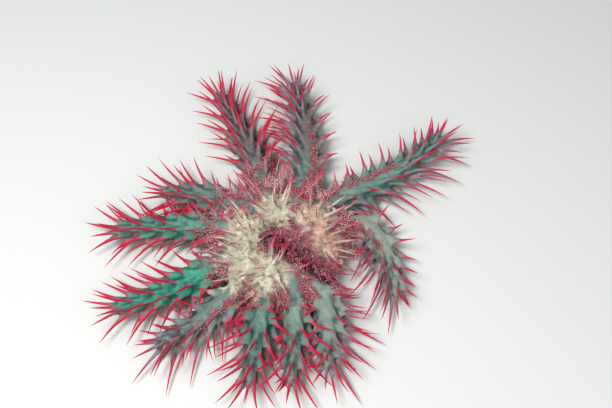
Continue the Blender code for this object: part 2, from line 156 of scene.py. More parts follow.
LENGTH_IN_CLEFT = (0.9, 1.3)
LENGTH_IN_COMB = (0.75, 1.0)
FILL_IN_GIRTH = (0.68, 0.85)  # and thickness
LOWEST_TIP = 2.5 * MM
DISC_SPINE_GIRTH = 0.78  # the frame's own disc spines, against those of the arms
DISC_CREST_START = 31 * MM  # how far out the arms' bare crests end on the disc
DISC_CREST_BAND = 0.6  # half width of a crest there, in half widths of the arm's wedge
WRINKLE_SPACING = 5.5 * MM
WRINKLE_DEPTH = 0.35 * MM
DIMPLE_SPACING = 3.5 * MM
DIMPLE_DEPTH = 0.3 * MM
GROOVE_DEPTH = 3 * MM  # the furrow that the tube feet stand in, under each arm
GROOVE_HALF_WIDTH = 3 * MM
MOUTH_DEPTH = 9 * MM

# What stands on the underside. A pair of sizes is the least and the most.
GROOVE_END = 0.96  # share of an arm's length that its groove runs out to
FOOT_SPACING = 2.4 * MM  # between the tube feet of a row
FOOT_OFF_MIDDLE = 1.1 * MM  # from the middle of the groove, at an arm's root
FOOT_SINK = 2.2 * MM  # how far above the underside it starts
FOOT_SPLAY = (1.2 * MM, 2.6 * MM)  # how far its sucker stands out from under its root
FOOT_STRAY = 0.8 * MM  # and how far along the groove, at most
FOOT_BOW = 0.5 * MM
FOOT_GIRTH = (0.62 * MM, 0.78 * MM)
SOLE = 0.3 * MM
FENCE_SPACING = 2.6 * MM  # between the spines that fence each groove
FENCE_OFF_MIDDLE = 4 * MM
FENCE_LEAN = (0.8 * MM, 2.4 * MM)
FENCE_DROP = (3.4 * MM, 5 * MM)
FENCE_GIRTH = (0.6 * MM, 0.75 * MM)
FIELD_SPACING = 6.2 * MM  # between the spines of the fields beside the grooves
FIELD_EDGE = 5.6 * MM  # how far off a groove's middle they begin, at an arm's root
FIELD_REACH = (3.5 * MM, 5.5 * MM)
FIELD_TIP = (1 * MM, 2.2 * MM)  # height of their tips
FIELD_GIRTH = (0.6 * MM, 0.8 * MM)
MOUTH_ROWS = ((13.5 * MM, 7 * MM), (17 * MM, 6 * MM))  # (distance out, length) of the spines round the mouth
MOUTH_GIRTH = (0.8 * MM, 0.95 * MM)
SPINE_SINK = 1 * MM  # how deep these spines start in the skin
FEELER_LEVEL = 10 * MM  # height of the feeler at the tip of each arm
FEELER_REACH = 6.5 * MM
FEELER_RISE = 1.5 * MM  # how far up or down it points, at most
FEELER_BOW = (0.3 * MM, 0.9 * MM)
FEELER_GIRTH = 0.55 * MM
BEYOND_TIP = 20 * MM  # far enough out from an arm's last point to be clear of its skin

GILL_SPACING = 0.9 * MM
GILL_REACH = 1.8 * MM
GILL_GIRTH = 0.33 * MM
GILL_SIDES = 5
GILL_TRIES = 4e6  # places tried for a gill on each square metre of skin
GILL_SWAY = 0.4  # how far gills lean at random
GILL_LENGTHS = (0.65, 1.2)  # least and most, against GILL_REACH
GILLS_ON_LOBES = 0.72  # size of the gills on the disc's lobes, against the others
# (bearing, distance, radius) of the sieve plates on the disc, each in a valley between two arms
SIEVE_PLATES = (
    (24, 47 * MM, 2.2 * MM),
    (89, 45 * MM, 2.5 * MM),
    (127, 46 * MM, 2.1 * MM),
    (158, 49 * MM, 1.8 * MM),
    (191, 50 * MM, 2.3 * MM),
    (247, 55 * MM, 1.9 * MM),
    (335, 53 * MM, 2.4 * MM),
)

BAKE_MAP = "OFBake"
GILL_PATCH = 0.003  # width of a gill's patch on the bake map
RANDOM_SEED = 7
rng = random.Random(RANDOM_SEED)
scene = bpy.context.scene
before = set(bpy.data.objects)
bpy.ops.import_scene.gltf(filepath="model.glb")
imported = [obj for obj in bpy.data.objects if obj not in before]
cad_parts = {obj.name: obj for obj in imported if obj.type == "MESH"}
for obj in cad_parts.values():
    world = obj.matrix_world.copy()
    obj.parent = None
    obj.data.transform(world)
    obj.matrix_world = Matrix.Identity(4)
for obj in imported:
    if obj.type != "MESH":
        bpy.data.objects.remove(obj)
cad_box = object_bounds()


def direction(degrees):
    angle = math.radians(degrees)
    return Vector((math.cos(angle), math.sin(angle), 0))


def kept(share):
    """How much of its root's girth an arm still has at this share of its length."""
    return 1 - TAPER * share**TAPER_CURVE


def smooth(value, start=0.0, end=1.0):
    """0 below start to 1 above end, eased, for numbers and arrays alike."""
    value = np.clip((np.asarray(value, float) - start) / (end - start), 0, 1)
    return value * value * (3 - 2 * value)


def sideways(axis, amount):
    """A random vector of this length, square to the axis."""
    turn = rng.uniform(0, 2 * math.pi)
    side = axis.orthogonal().normalized()
    return (side * math.cos(turn) + axis.normalized().cross(side) * math.sin(turn)) * amount


def add_object(name, data):
    obj = bpy.data.objects.new(name, data)
    scene.collection.objects.link(obj)
    return obj


def evaluated_mesh(obj):
    """The object's mesh with its modifiers applied."""
    bpy.context.view_layer.update()
    graph = bpy.context.evaluated_depsgraph_get()
    return bpy.data.meshes.new_from_object(obj.evaluated_get(graph), depsgraph=graph)


def made_by(obj, kind, **settings):
    """Gives the object the mesh that a modifier of this kind makes of it."""
    modifier = obj.modifiers.new(kind, kind)
    for name, value in settings.items():
        setattr(modifier, name, value)
    obj.data = evaluated_mesh(obj)
    obj.modifiers.clear()


def as_data(mesh, name):
    """The mesh as the kind that an object holds."""
    data = bpy.data.meshes.new(name)
    mesh.to_mesh(data)
    mesh.free()
    return data


def join_rings(mesh, rings):
    """Joins each closed ring of vertices to the next with a band of faces."""
    for near, far in zip(rings, rings[1:]):
        for k in range(len(near)):
            after = (k + 1) % len(near)
            mesh.faces.new((near[k], near[after], far[after], far[k]))


def tree_of(points):
    """A search tree that gives each point by its number."""
    tree = KDTree(len(points))
    for i, point in enumerate(points):
        tree.insert(point, i)
    tree.balance()
    return tree


def coordinates(mesh, field="co"):
    """Each vertex's place, or its normal where the field is that."""
    flat = np.zeros(3 * len(mesh.vertices))
    mesh.vertices.foreach_get(field, flat)
    return flat.reshape(-1, 3)


def move(mesh, places):
    """Puts each vertex at its place in this list."""
    mesh.vertices.foreach_set("co", places.ravel())
    mesh.update()


def store(mesh, name, values):
    """Keeps one number, or one vector, for each vertex under this name."""
    values = np.asarray(values, np.float32)
    kind, field = ("FLOAT", "value") if values.ndim == 1 else ("FLOAT_VECTOR", "vector")
    mesh.attributes.new(name, kind, "POINT").data.foreach_set(field, values.ravel())


# ---- What the frame says: flesh and spines --------------------------------------------------------

# bow is how far a spine's middle is bent aside
Spine = namedtuple("Spine", "foot tip on_disc stoutness bow")
SHARPEST_FLESH = math.radians(120)  # the angles round a spine's tip add up to less than this
FLOOR_LEVEL = 0.1 * MM  # the foot pads' soles are below this


def angle_sum(vert):
    return sum(loop.calc_angle() for face in vert.link_faces for loop in face.loops if loop.vert == vert)


def new_spine(foot, tip, on_disc, stoutness):
    """A spine, bowed a little. On an arm its middle leans towards the arm's tip, so it curves back."""
    axis = tip - foot
    if on_disc:
        bow = sideways(axis, axis.length * rng.uniform(*BOW_ON_DISC))
    else:
        heading = nearest_line(foot)[3]
        forward = heading - axis * heading.dot(axis) / axis.length_squared
        bow = forward * axis.length * rng.uniform(*BOW_ON_ARM)
    return Spine(foot, tip, on_disc, stoutness, bow)


def spine_point(spine, share):
    """The point of a spine's middle line at this share of its length. Below 0 it runs straight inwards."""
    bend = 4 * max(0.0, share) * (1 - share)
    return spine.foot + (spine.tip - spine.foot) * share + spine.bow * bend


def flesh_of(node_name, spines):
    """The node's flesh alone: its spines laid flat, after they are noted, and its foot pads drawn in."""
    mesh = bmesh.new()
    mesh.from_mesh(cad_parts[node_name].data)
    bmesh.ops.remove_doubles(mesh, verts=mesh.verts, dist=1e-6)
    tips = [v for v in mesh.verts if len(v.link_faces) < 5 and angle_sum(v) < SHARPEST_FLESH]
    for tip in tips:
        ring = [edge.other_vert(tip).co for edge in tip.link_edges]
        foot = sum(ring, Vector()) / len(ring)
        on_disc = node_name == "disc"
        spines.append(new_spine(foot, tip.co.copy(), on_disc, DISC_SPINE_GIRTH if on_disc else 1.0))
        tip.co = foot
    for vert in [v for v in mesh.verts if v.co.z < FLOOR_LEVEL]:
        vert.co.z = max(edge.other_vert(vert).co.z for edge in vert.link_edges)
    return mesh


# What decides a shorter spine at one point: its arm, the share along it, how far the point is across it, out
# from the disc's middle, on a lobe and in the cleft
Spot = namedtuple("Spot", "arm share across out on_lobe sunk")


def in_comb(spot):
    return spot.out >= DISC_RADIUS and spot.arm.full_side * spot.across > COMB_EDGE


def fill_in_spacing(spot):
    """How far a shorter spine at this spot keeps from the others."""
    if spot.out < DISC_RADIUS:
        spacing = FILL_IN_DISC + (FILL_IN_LOBE - FILL_IN_DISC) * smooth(spot.on_lobe, 0.2, 0.6)
        spacing += (FILL_IN_CLEFT - spacing) * spot.sunk
    else:
        spacing = FILL_IN_ARM * (1 - CLOSER_TO_TIP * spot.share)
    if in_comb(spot):
        spacing *= spot.arm.comb
    elif spot.arm.full_side * spot.across < 0:
        spacing *= THIN_SIDE_SPACING
    return spacing


def on_bare_crest(spot):
    """Whether the spot is on the top of an arm where no spines stand, or where that runs in on the disc."""
    if spot.out < DISC_RADIUS:
        return spot.out > DISC_CREST_START and abs(spot.across) < DISC_CREST_BAND and spot.on_lobe < 0.3
    band = THIN_SIDE_BAND if spot.arm.full_side * spot.across < 0 else BARE_BAND
    reach = ONE_SIDED_BARE_CREST if spot.arm.full_side else BARE_CREST
    return abs(spot.across) < band and spot.share < reach


def fill_in_spine(foot, normal, spot, near):
    """A shorter spine at this spot that leans as the spines near it do."""
    on_disc = spot.out < DISC_RADIUS
    lean = sum(((spine.tip - spine.foot).normalized() for spine in near), Vector()).normalized()
    reach = sum((spine.tip - spine.foot).length for spine in near) / len(near)
    deep = on_disc and spot.sunk > 0.4
    stray = Vector(rng.uniform(-1, 1) for _ in range(3)) * (STRAY_LEAN_IN_CLEFT if deep else STRAY_LEAN)
    lean = (lean + 0.5 * normal + stray).normalized()
    lengths = LENGTH_ON_DISC if on_disc else (0.5 + 0.2 * spot.share, 0.85 + 0.1 * spot.share)
    if deep:
        lengths = LENGTH_IN_CLEFT
    elif in_comb(spot):
        lengths = LENGTH_IN_COMB
    tip = foot + lean * reach * rng.uniform(*lengths)
    tip.z = min(max(tip.z, LOWEST_TIP), cad_box[1][2])
    slight = on_disc and (spot.on_lobe > 0.3 or spot.sunk > 0.5)
    return new_spine(foot, tip, on_disc, rng.uniform(*FILL_IN_GIRTH) * (1 - 0.25 * slight))


def fill_in(flesh, spines):
    """The shorter spines that stand between the frame's own, on the arms' flanks and all over the disc."""
    tree = tree_of([spine.foot for spine in spines])
    faces = [face for face in flesh.faces if face.normal.z > -0.1]
    rng.shuffle(faces)
    middles = np.array([face.calc_center_median() for face in faces])
    places = places_of(middles)
    sunk = in_cleft(middles)
    on_lobe, _ = lobes_at(middles)
    found = []
    for i, face in enumerate(faces):
        foot = Vector(middles[i])
        arm = ARMS[places.arm[i]]
        spot = Spot(arm, places.share[i], places.across[i], places.out[i], on_lobe[i], sunk[i])
        if on_bare_crest(spot) or foot.z < MARGIN_LEVEL - 1 * MM:
            continue
        spacing = fill_in_spacing(spot)
        if tree.find(foot)[2] < spacing or any((foot - other.foot).length < spacing for other in found):
            continue
        near = [spines[k] for _, k, _ in tree.find_n(foot, 4)]
        found.append(fill_in_spine(foot, face.normal, spot, near))
    return found


def push_roots_in(mesh, disc_corners):
    """Sinks an arm's root into the disc, so that the two grow together."""
    for vert in mesh.verts:
        if disc_corners.find(vert.co)[2] < 0.5 * MM:
            inward = Vector((-vert.co.x, -vert.co.y, 0)).normalized()
            vert.co += inward * ROOT_SINK
            vert.co.z += (ROOT_LEVEL - vert.co.z) * ROOT_PINCH


def rounded(mesh, name):
    """The flesh's mesh, smoothed by subdivision."""
    obj = add_object(name, as_data(mesh, name))
    made_by(obj, "SUBSURF", levels=2, render_levels=2)
    result = obj.data
    bpy.data.objects.remove(obj)
    return result


def spine_girth(share):
    """A spine's thickness at this share of its length, where 1 is its thickness at the foot."""
    return (1 - min(share, 1) ** SPINE_BULGE) ** 0.95


def add_tube(mesh, path, broad, sides=10):
    """A closed tube through these (middle, radius, breadth) steps. Breadth is its radius along broad."""
    rings = []
    for i, (middle, radius, breadth) in enumerate(path):
        axis = (path[min(i + 1, len(path) - 1)][0] - path[max(i - 1, 0)][0]).normalized()
        side = (broad - axis * broad.dot(axis)).normalized()
        other = axis.cross(side)
        ring = []
        for k in range(sides):
            angle = 2 * math.pi * k / sides
            offset = side * math.cos(angle) * breadth + other * math.sin(angle) * radius
            ring.append(mesh.verts.new(middle + offset))
        rings.append(ring)
    mesh.faces.new(list(reversed(rings[0])))
    join_rings(mesh, rings)
    mesh.faces.new(rings[-1])


def nearest_line(point):
    """(arm's number, share along it, point of its middle line, heading) nearest to this point, in plan."""
    return line_places[line_tree.find((point.x, point.y, 0))[1]]


def off_crest(point):
    """How far a point is off the middle line of its arm, in half widths of the arm."""
    _, share, middle, heading = nearest_line(point)
    off = heading.x * (point.y - middle.y) - heading.y * (point.x - middle.x)
    return abs(off) / (ROOT_WIDTH / 2 * kept(share))


def room_beside(point):
    """How far a point on an arm is from the flesh of the nearest other arm, in plan."""
    own = nearest_line(point)[0]
    gaps = (
        math.hypot(point.x - middle.x, point.y - middle.y) - ROOT_WIDTH / 2 * kept(share)
        for number, share, middle, _ in line_places
        if number != own
    )
    return min(gaps)


def add_flare(mesh, spine):
    """The cone that skin makes as it rises up a spine, drawn out along the arm into a web. Its thin upper
    end dies away inside the spine, so that no edge shows."""
    length = (spine.tip - spine.foot).length
    height = min(FLARE_HEIGHT, 0.5 * length)
    _, share, _, heading = nearest_line(spine.foot)
    scale = spine.stoutness ** (2 if spine.on_disc else 1) * (1 - THINNER_TO_TIP * share)
    fall = FLARE_FALL
    if not spine.on_disc:
        flanking = smooth(off_crest(spine.foot), 0.3, 0.8)
        scale *= (0.7 + 0.3 * flanking) * smooth(room_beside(spine.foot), 1 * MM, ROOM_FOR_WEB)
        fall *= 0.85 + 0.6 * flanking
    web = FLARE_SPREAD + (WEB_SPREAD - FLARE_SPREAD) * (WEB_ON_DISC if spine.on_disc else 1)
    path = []
    for i in range(FLARE_RINGS):
        along = -FLARE_ROOT + (height + FLARE_ROOT) * i / (FLARE_RINGS - 1)
        left = math.exp(-max(along, 0) / fall)
        girth = SPINE_RADIUS * spine.stoutness * spine_girth(max(along, 0) / length) - FLARE_SINK
        radius, breadth = girth + FLARE_SPREAD * scale * left, girth + web * scale * left
        path.append((spine_point(spine, along / length), radius, breadth))
    add_tube(mesh, path, heading)


def fold_source(spine):
    """Where the fold that leads to a spine comes from: the nearest lobe's middle, or the crest of its arm,
    a little nearer the disc."""
    if spine.on_disc:
        foot = Vector((spine.foot.x, spine.foot.y, 0))
        middles = [direction(lobe.bearing) * lobe.distance for lobe in LOBES]
        middle = min(middles, key=lambda point: (point - foot).length)
    else:
        _, _, point, heading = nearest_line(spine.foot)
        middle = point - heading * FOLD_START
    return Vector((middle.x, middle.y, spine.foot.z + 2 * MM))


def fold_path(surface, spine):
    """(middle, radius) steps of the fold of skin that runs over the back and up to a spine's foot."""
    _, share, _, _ = nearest_line(spine.foot)
    scale = spine.stoutness * (1 - THINNER_TO_TIP * share) * (0.7 if spine.on_disc else 1)
    length = FOLD_ON_DISC if spine.on_disc else FOLD_LENGTH * (1 - 0.3 * share)
    run = (fold_source(spine) - spine.foot).normalized() * length
    path = []
    for i in range(FOLD_RINGS):
        risen = i / (FOLD_RINGS - 1)
        on_skin = surface.find_nearest(spine.foot + run * (1 - risen))[0]
        sunk = Vector((0, 0, FOLD_SINK * (1 - risen)))
        path.append((on_skin - sunk, FOLD_RADIUS * (0.2 + 0.9 * risen) * scale))
    return path


def neighbour_mean(mesh):
    """A function that gives, for an array of values by vertex, the mean over each vertex's neighbours."""
    flat = np.zeros(2 * len(mesh.edges), int)
    mesh.edges.foreach_get("vertices", flat)
    a, b = flat.reshape(-1, 2).T
    count = len(mesh.vertices)
    degree = np.bincount(a, minlength=count) + np.bincount(b, minlength=count)

    def mean(values):
        columns = values.reshape(count, -1).T
        sums = [np.bincount(a, c[b], count) + np.bincount(b, c[a], count) for c in columns]
        return (np.stack(sums, 1) / degree[:, None]).reshape(values.shape)

    return mean


def settle(mesh):
    """Smooths away the remesh's steps."""
    mean = neighbour_mean(mesh)
    places = coordinates(mesh)
    for step in SETTLING:
        places += step * (mean(places) - places)
    move(mesh, places)


def wrinkle(mesh):
    """Shallow creases and dimples, always inwards, in the soft skin between the spines."""
    places = coordinates(mesh)
    depth = np.zeros(len(places))
    for i, place in enumerate(places):
        crease = abs(noise.noise(Vector(place) / WRINKLE_SPACING))
        dimple = noise.noise(Vector(place) / DIMPLE_SPACING + Vector((9, 9, 9)))
        depth[i] = WRINKLE_DEPTH * (1 - min(1, 4 * crease)) + DIMPLE_DEPTH * max(0, dimple)
    move(mesh, places - coordinates(mesh, "normal") * depth[:, None])


def carve_underside(mesh):
    """Sinks the mouth into the underside, and a furrow from it out along every arm."""
    places = coordinates(mesh)
    at = places_of(places)
    taper = kept(at.share)
    furrow = 1 - smooth(np.abs(at.off) / taper, 0.4 * GROOVE_HALF_WIDTH, 1.2 * GROOVE_HALF_WIDTH)
    furrow *= smooth(at.out, MOUTH_RADIUS - 2 * MM, MOUTH_RADIUS + 4 * MM)
    furrow *= 1 - smooth(at.share, 0.9, 0.98)
    hollow = GROOVE_DEPTH * taper * furrow
    hollow += MOUTH_DEPTH * (1 - smooth(at.out, 0.5 * MOUTH_RADIUS, 0.95 * MOUTH_RADIUS))
    faces_down = smooth(-coordinates(mesh, "normal")[:, 2], 0.3, 0.8)
    places[:, 2] += hollow * faces_down
    move(mesh, places)


def keep_largest(mesh):
    """Leaves out the specks that a voxel remesh closes off inside a body."""
    body = bmesh.new()
    body.from_mesh(mesh)
    left, largest = set(body.verts), set()
    while left:
        edge_of_growth = [left.pop()]
        part = set(edge_of_growth)
        while edge_of_growth:
            vert = edge_of_growth.pop()
            fresh = {edge.other_vert(vert) for edge in vert.link_edges} - part
            part |= fresh
            edge_of_growth.extend(fresh)
        left -= part
        largest = max(part, largest, key=len)
    bmesh.ops.delete(body, geom=[vert for vert in body.verts if vert not in largest], context="VERTS")
    body.to_mesh(mesh)
    body.free()


def grow_skin(spines, folds):
    """One skin over the disc, the arms and the feet of the spines. Notes the spines and folds it makes."""
    names = ["disc"] + sorted(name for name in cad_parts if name.startswith("arm_"))
    fleshes = [flesh_of(name, spines) for name in names]
    disc_corners = tree_of([vert.co for vert in fleshes[0].verts])
    for flesh in fleshes[1:]:
        push_roots_in(flesh, disc_corners)
    joined = bmesh.new()
    for name, flesh in zip(names, fleshes):
        joined.from_mesh(rounded(flesh, name + "_flesh"))
    joined.normal_update()
    spines.extend(fill_in(joined, spines))
    surface = BVHTree.FromBMesh(joined)
    for spine in spines:
        add_flare(joined, spine)
        folds.append(fold_path(surface, spine))
        round_path = [(middle, radius, radius) for middle, radius in folds[-1]]
        add_tube(joined, round_path, Vector((0.1, 0.2, 1)), sides=8)
    obj = add_object("skin", as_data(joined, "skin"))
    made_by(obj, "REMESH", mode="VOXEL", voxel_size=SKIN_GRAIN)
    keep_largest(obj.data)
    settle(obj.data)
    carve_underside(obj.data)
    wrinkle(obj.data)
    made_by(obj, "DECIMATE", ratio=SKIN_TRIANGLES / (2 * len(obj.data.polygons)))
    obj.data.shade_smooth()
    return obj


# ---- Where on the animal a point is ---------------------------------------------------------------


def arm_line(arm):
    """(point, heading) from the arm's root to its tip."""
    point = direction(arm.bearing) * DISC_RADIUS
    line = [(point, direction(arm.bearing))]
    for i in range(LINE_STEPS):
        turned = 1 - (1 - (i + 0.5) / LINE_STEPS) ** arm.early
        heading = direction(arm.root_heading + (arm.tip_heading - arm.root_heading) * turned)
        point = point + heading * (arm.length / LINE_STEPS)
        line.append((point, heading))
    return line


def half_wedge(number, turn):
    """Degrees from an arm's bearing to the valley on the side that turn is to."""
    neighbour = ARMS[(number + (1 if turn > 0 else -1)) % len(ARMS)]
    apart = abs((neighbour.bearing - ARMS[number].bearing + 180) % 360 - 180)
    return min(HALF_WEDGE, apart / 2)


arm_lines = [arm_line(arm) for arm in ARMS]
# (arm's number, share along it, point, heading) at each step of the arms' middle lines
line_places = [
    (number, i / LINE_STEPS, point, heading)
    for number, line in enumerate(arm_lines)
    for i, (point, heading) in enumerate(line)
]
line_tree = tree_of([point for _, _, point, _ in line_places])

Places = namedtuple("Places", "arm share across off out")


def places_of(points):
    """For each point: the nearest arm's number, the share along it, how far the point is off the arm's line,
    positive to the left, in half widths (across) and in metres (off), and how far it is out from the
    middle of the disc."""
    arm, share = np.zeros(len(points), int), np.zeros(len(points))
    across, off = np.zeros(len(points)), np.zeros(len(points))
    out = np.hypot(points[:, 0], points[:, 1])
    for i, (x, y, _) in enumerate(points):
        _, k, _ = line_tree.find((x, y, 0))
        number, along, on_line, heading = line_places[k]
        arm[i], share[i] = number, along
        if out[i] < DISC_RADIUS:
            turn = (math.degrees(math.atan2(y, x)) - ARMS[number].bearing + 180) % 360 - 180
            across[i] = turn / half_wedge(number, turn)
            off[i] = out[i] * math.sin(math.radians(turn))
        else:
            off[i] = heading.x * (y - on_line.y) - heading.y * (x - on_line.x)
            across[i] = off[i] / (ROOT_WIDTH / 2 * kept(along))
    return Places(arm, share, np.clip(across, -1, 1), off, out)


def of_arms(field, places):
    """This field of the arm that each place is on."""
    return np.array([getattr(arm, field) for arm in ARMS])[places.arm]


def lobes_at(points):
    """How far each point is inside a puffed lobe of the disc, from 0 to 1, and how rosy its skin is."""
    strength, rosy = np.zeros(len(points)), np.zeros(len(points))
    for lobe in LOBES:
        middle = direction(lobe.bearing) * lobe.distance
        away = np.hypot(points[:, 0] - middle.x, points[:, 1] - middle.y)
        here = np.exp(-((away / lobe.radius) ** 2))
        rosy += here * lobe.rosy
        strength = np.maximum(strength, here)
    return strength, np.clip(rosy, 0, 1)


def patchiness(points, size, offset=0.0):
    """Smooth random value about 0 at each point, from patches of this size."""
    shift = Vector((offset, offset, offset))
    return np.array([noise.noise(Vector(point) / size + shift) for point in points])


def in_cleft(points):
    """1 along the middle of the cleft between the lobes, fading to 0 off it."""
    run = CLEFT_END - CLEFT_START
    from_start = points[:, :2] - CLEFT_START
    share = np.clip(from_start @ run / (run @ run), 0, 1)
    away = np.linalg.norm(from_start - share[:, None] * run, axis=1)
    return np.exp(-((away / CLEFT_RADIUS) ** 2))


def in_gill_patch(points, patches):
    """1 inside the crimson patches of close-set gills, with ragged edges."""
    inside = np.zeros(len(points))
    for x, y, radius in GILL_PATCHES:
        away = np.hypot(points[:, 0] - x, points[:, 1] - y) / radius
        inside = np.maximum(inside, 1 - smooth(away + 0.5 * patches, 0.8, 1.0))
    return inside


def clear_of_plates(points):
    """0 on the sieve plates and 1 off them."""
    clear = np.ones(len(points))
    for bearing, out, radius in SIEVE_PLATES:
        middle = direction(bearing) * out
        away = np.hypot(points[:, 0] - middle.x, points[:, 1] - middle.y)
        clear = np.minimum(clear, smooth(away, radius, 1.3 * radius))
    return clear


def gills_at(places, patches, greens, tan, sunk, patched):
    """How thickly gills stand: patches round the arms' roots and between the lobes, and a band beside an
    arm's crest."""
    side = of_arms("gill_side", places)
    across = np.where(side == 0, np.abs(places.across), places.across * side)
    band = smooth(across, 0.05, 0.2) * (1 - smooth(across, 0.5, 0.8)) * (side != 0)
    band *= (1 - smooth(places.share, 0.35, 0.75)) * smooth(patches, -0.35, -0.05)
    root = (1 - smooth(places.share, 0.04, 0.22)) * smooth(np.abs(places.across) + 0.9 * patches, 0.2, 0.5)
    root *= np.where(side == 0, 1, smooth(across, -0.1, 0.2))
    field = 1 - smooth(places.out, DISC_RADIUS - 6 * MM, DISC_RADIUS + 2 * MM)
    crest = (1 - smooth(np.abs(places.across), 0.35, 0.7)) * smooth(places.out, 36 * MM, 46 * MM) * (1 - tan)
    field *= smooth(patches - 0.35 * greens + 0.4 * tan + 0.2 - 0.8 * crest, -0.1, 0.12)
    field *= (1 - 0.5 * tan) * (1 - 0.93 * sunk)
    return np.maximum.reduce((band, root * (1 - 0.5 * greens), field, patched))


def markings_of(points, upward=1.0):
    """The animal's markings at these points, each from 0 to 1, and the masks that its painted shade and
    light follow. Skin, gills and spines all carry them. upward is 0 where the skin faces the floor."""
    places = places_of(points)
    patches = patchiness(points, 7 * MM) + 0.6 * patchiness(points, 3 * MM, offset=5.0)
    level = MARGIN_LEVEL + RISE_OF_TIPS * places.share
    back = smooth(points[:, 2], level - 2 * MM, level + 2 * MM) * upward
    lobes, rosy = lobes_at(points)
    on_disc = 1 - smooth(places.out, DISC_RADIUS - 4 * MM, DISC_RADIUS + 12 * MM)
    sunk = smooth(in_cleft(points) + 0.35 * patches - 0.15 * lobes, 0.3, 0.62) * on_disc
    patched = in_gill_patch(points, patches)
    tan = smooth(lobes - 0.8 * sunk - 0.5 * patched + 0.4 * patches, 0.16, 0.5) * back
    tan *= smooth(lobes, 0.03, 0.12)
    greens = of_arms("green", places)
    return {
        "tan": tan,
        "rosy": rosy,
        "green": greens * smooth(places.out, 30 * MM, 60 * MM),
        "mauve": of_arms("mauve", places) * smooth(places.share, 0.02, 0.3),
        "bloom": of_arms("bloom", places) * smooth(places.out, 40 * MM, 60 * MM),
        "even": (1 - np.abs(of_arms("full_side", places))) * (1 - on_disc),
        "crest": 1 - smooth(np.abs(places.across), 0.1, 0.9),
        "gills": gills_at(places, patches, greens, tan, sunk, patched) * back * clear_of_plates(points),
        "patched": patched * back,
        "back": back,
        "sunk": sunk * back,
        "disc": on_disc * back,
        "flank": back * (1 - smooth(points[:, 2], level + 1 * MM, level + 5 * MM)),
    }


HOLLOW_REACH = 14  # steps of smoothing that a hollow is measured against
SHEATH_REACH = 3.2 * MM  # skin this close to a spine's middle line starts to take the spine's colour
SHEATH_MIDDLE = 0.22  # the part of a spine that skin can wrap: its middle and half its length, as shares
SHEATH_HALF = 0.32


def hollowness(mesh):
    """How sunk each vertex is under the skin round it, from 0 to 1."""
    mean = neighbour_mean(mesh)
    places = coordinates(mesh)
    eased = places
    for _ in range(HOLLOW_REACH):
        eased = mean(eased)
    sunk = ((eased - places) * coordinates(mesh, "normal")).sum(1)
    return smooth(sunk, 0.05 * MM, 0.9 * MM)


def sheath(mesh, spines, own_colours):
    """How each vertex takes part in the nearest spine's colours: how closely it wraps the spine (sheathed),
    its share of the way up it (along), and that spine's own marks."""
    points = coordinates(mesh)
    tree = tree_of(points)
    found = {name: np.zeros(len(points)) for name in ("sheathed", "along", *own_colours)}
    for number, spine in enumerate(spines):
        axis = spine.tip - spine.foot
        for _, i, _ in tree.find_range(spine.foot + SHEATH_MIDDLE * axis, SHEATH_HALF * axis.length):
            point = Vector(points[i])
            share = (point - spine.foot).dot(axis) / axis.length_squared
            away = (point - spine_point(spine, share)).length
            closeness = (1 - away / SHEATH_REACH) * min(1, max(0, share * 5))
            if closeness > found["sheathed"][i]:
                found["sheathed"][i], found["along"][i] = closeness, share
                for name, values in own_colours.items():
                    found[name][i] = values[number]
    found["sheathed"] = smooth(found["sheathed"], 0.0, 0.5) * smooth(found["along"], 0.02, 0.24)
    return found


def fold_marks(mesh, folds):
    """How far each vertex is on a fold, from 0 to 1 at the spine's foot."""
    points = coordinates(mesh)
    tree = tree_of(points)
    marked = np.zeros(len(points))
    for path in folds:
        for step, (middle, radius) in enumerate(path):
            top = middle + Vector((0, 0, radius))
            for _, i, away in tree.find_range(top, FOLD_MARK):
                marked[i] = max(marked[i], (1 - away / FOLD_MARK) * (0.3 + 0.7 * step / (len(path) - 1)))
    return smooth(neighbour_mean(mesh)(marked), 0.0, 0.7)


def unwrap(obj):
    """Lays the skin out flat in two sheets, back and underside, parted along the margin of the arms."""
    points = coordinates(obj.data)
    below = points[:, 2] < MARGIN_LEVEL + RISE_OF_TIPS * places_of(points).share
    mesh = bmesh.new()
    mesh.from_mesh(obj.data)
    for edge in mesh.edges:
        sides = {all(below[vert.index] for vert in face.verts) for face in edge.link_faces}
        edge.seam = len(sides) == 2
    mesh.to_mesh(obj.data)
    mesh.free()
    obj.data.uv_layers.new(name=BAKE_MAP)
    bpy.context.view_layer.objects.active = obj
    obj.select_set(True)
    bpy.ops.object.mode_set(mode="EDIT")
    bpy.ops.mesh.select_all(action="SELECT")
    bpy.ops.uv.unwrap(method="CONFORMAL", margin=0.002)
    bpy.ops.object.mode_set(mode="OBJECT")


# ---- Nodes ----------------------------------------------------------------------------------------


def linear(code):
    """The linear colour, with full alpha, of an sRGB hex code."""
    values = [int(code[i : i + 2], 16) / 255 for i in (1, 3, 5)]
    return [v / 12.92 if v <= 0.04045 else ((v + 0.055) / 1.055) ** 2.4 for v in values] + [1]


def add(tree, kind, inputs=None, **settings):
    """Adds a node with its settings. Its inputs, by name or by number among those in use, are each linked
    to a socket, linked to a node's first output, or set to a plain value, where a hex code is a colour."""
    node = tree.nodes.new(kind)
    for name, value in settings.items():
        setattr(node, name, value)
    in_use = [socket for socket in node.inputs if socket.enabled]
    for key, value in (inputs or {}).items():
        socket = in_use[key] if isinstance(key, int) else next(s for s in in_use if s.name == key)
        if isinstance(value, bpy.types.Node):
            value = next(output for output in value.outputs if output.enabled)
        if isinstance(value, bpy.types.NodeSocket):
            tree.links.new(value, socket)
        elif isinstance(value, str) and value.startswith("#"):
            socket.default_value = linear(value)
        else:
            socket.default_value = value
    return node


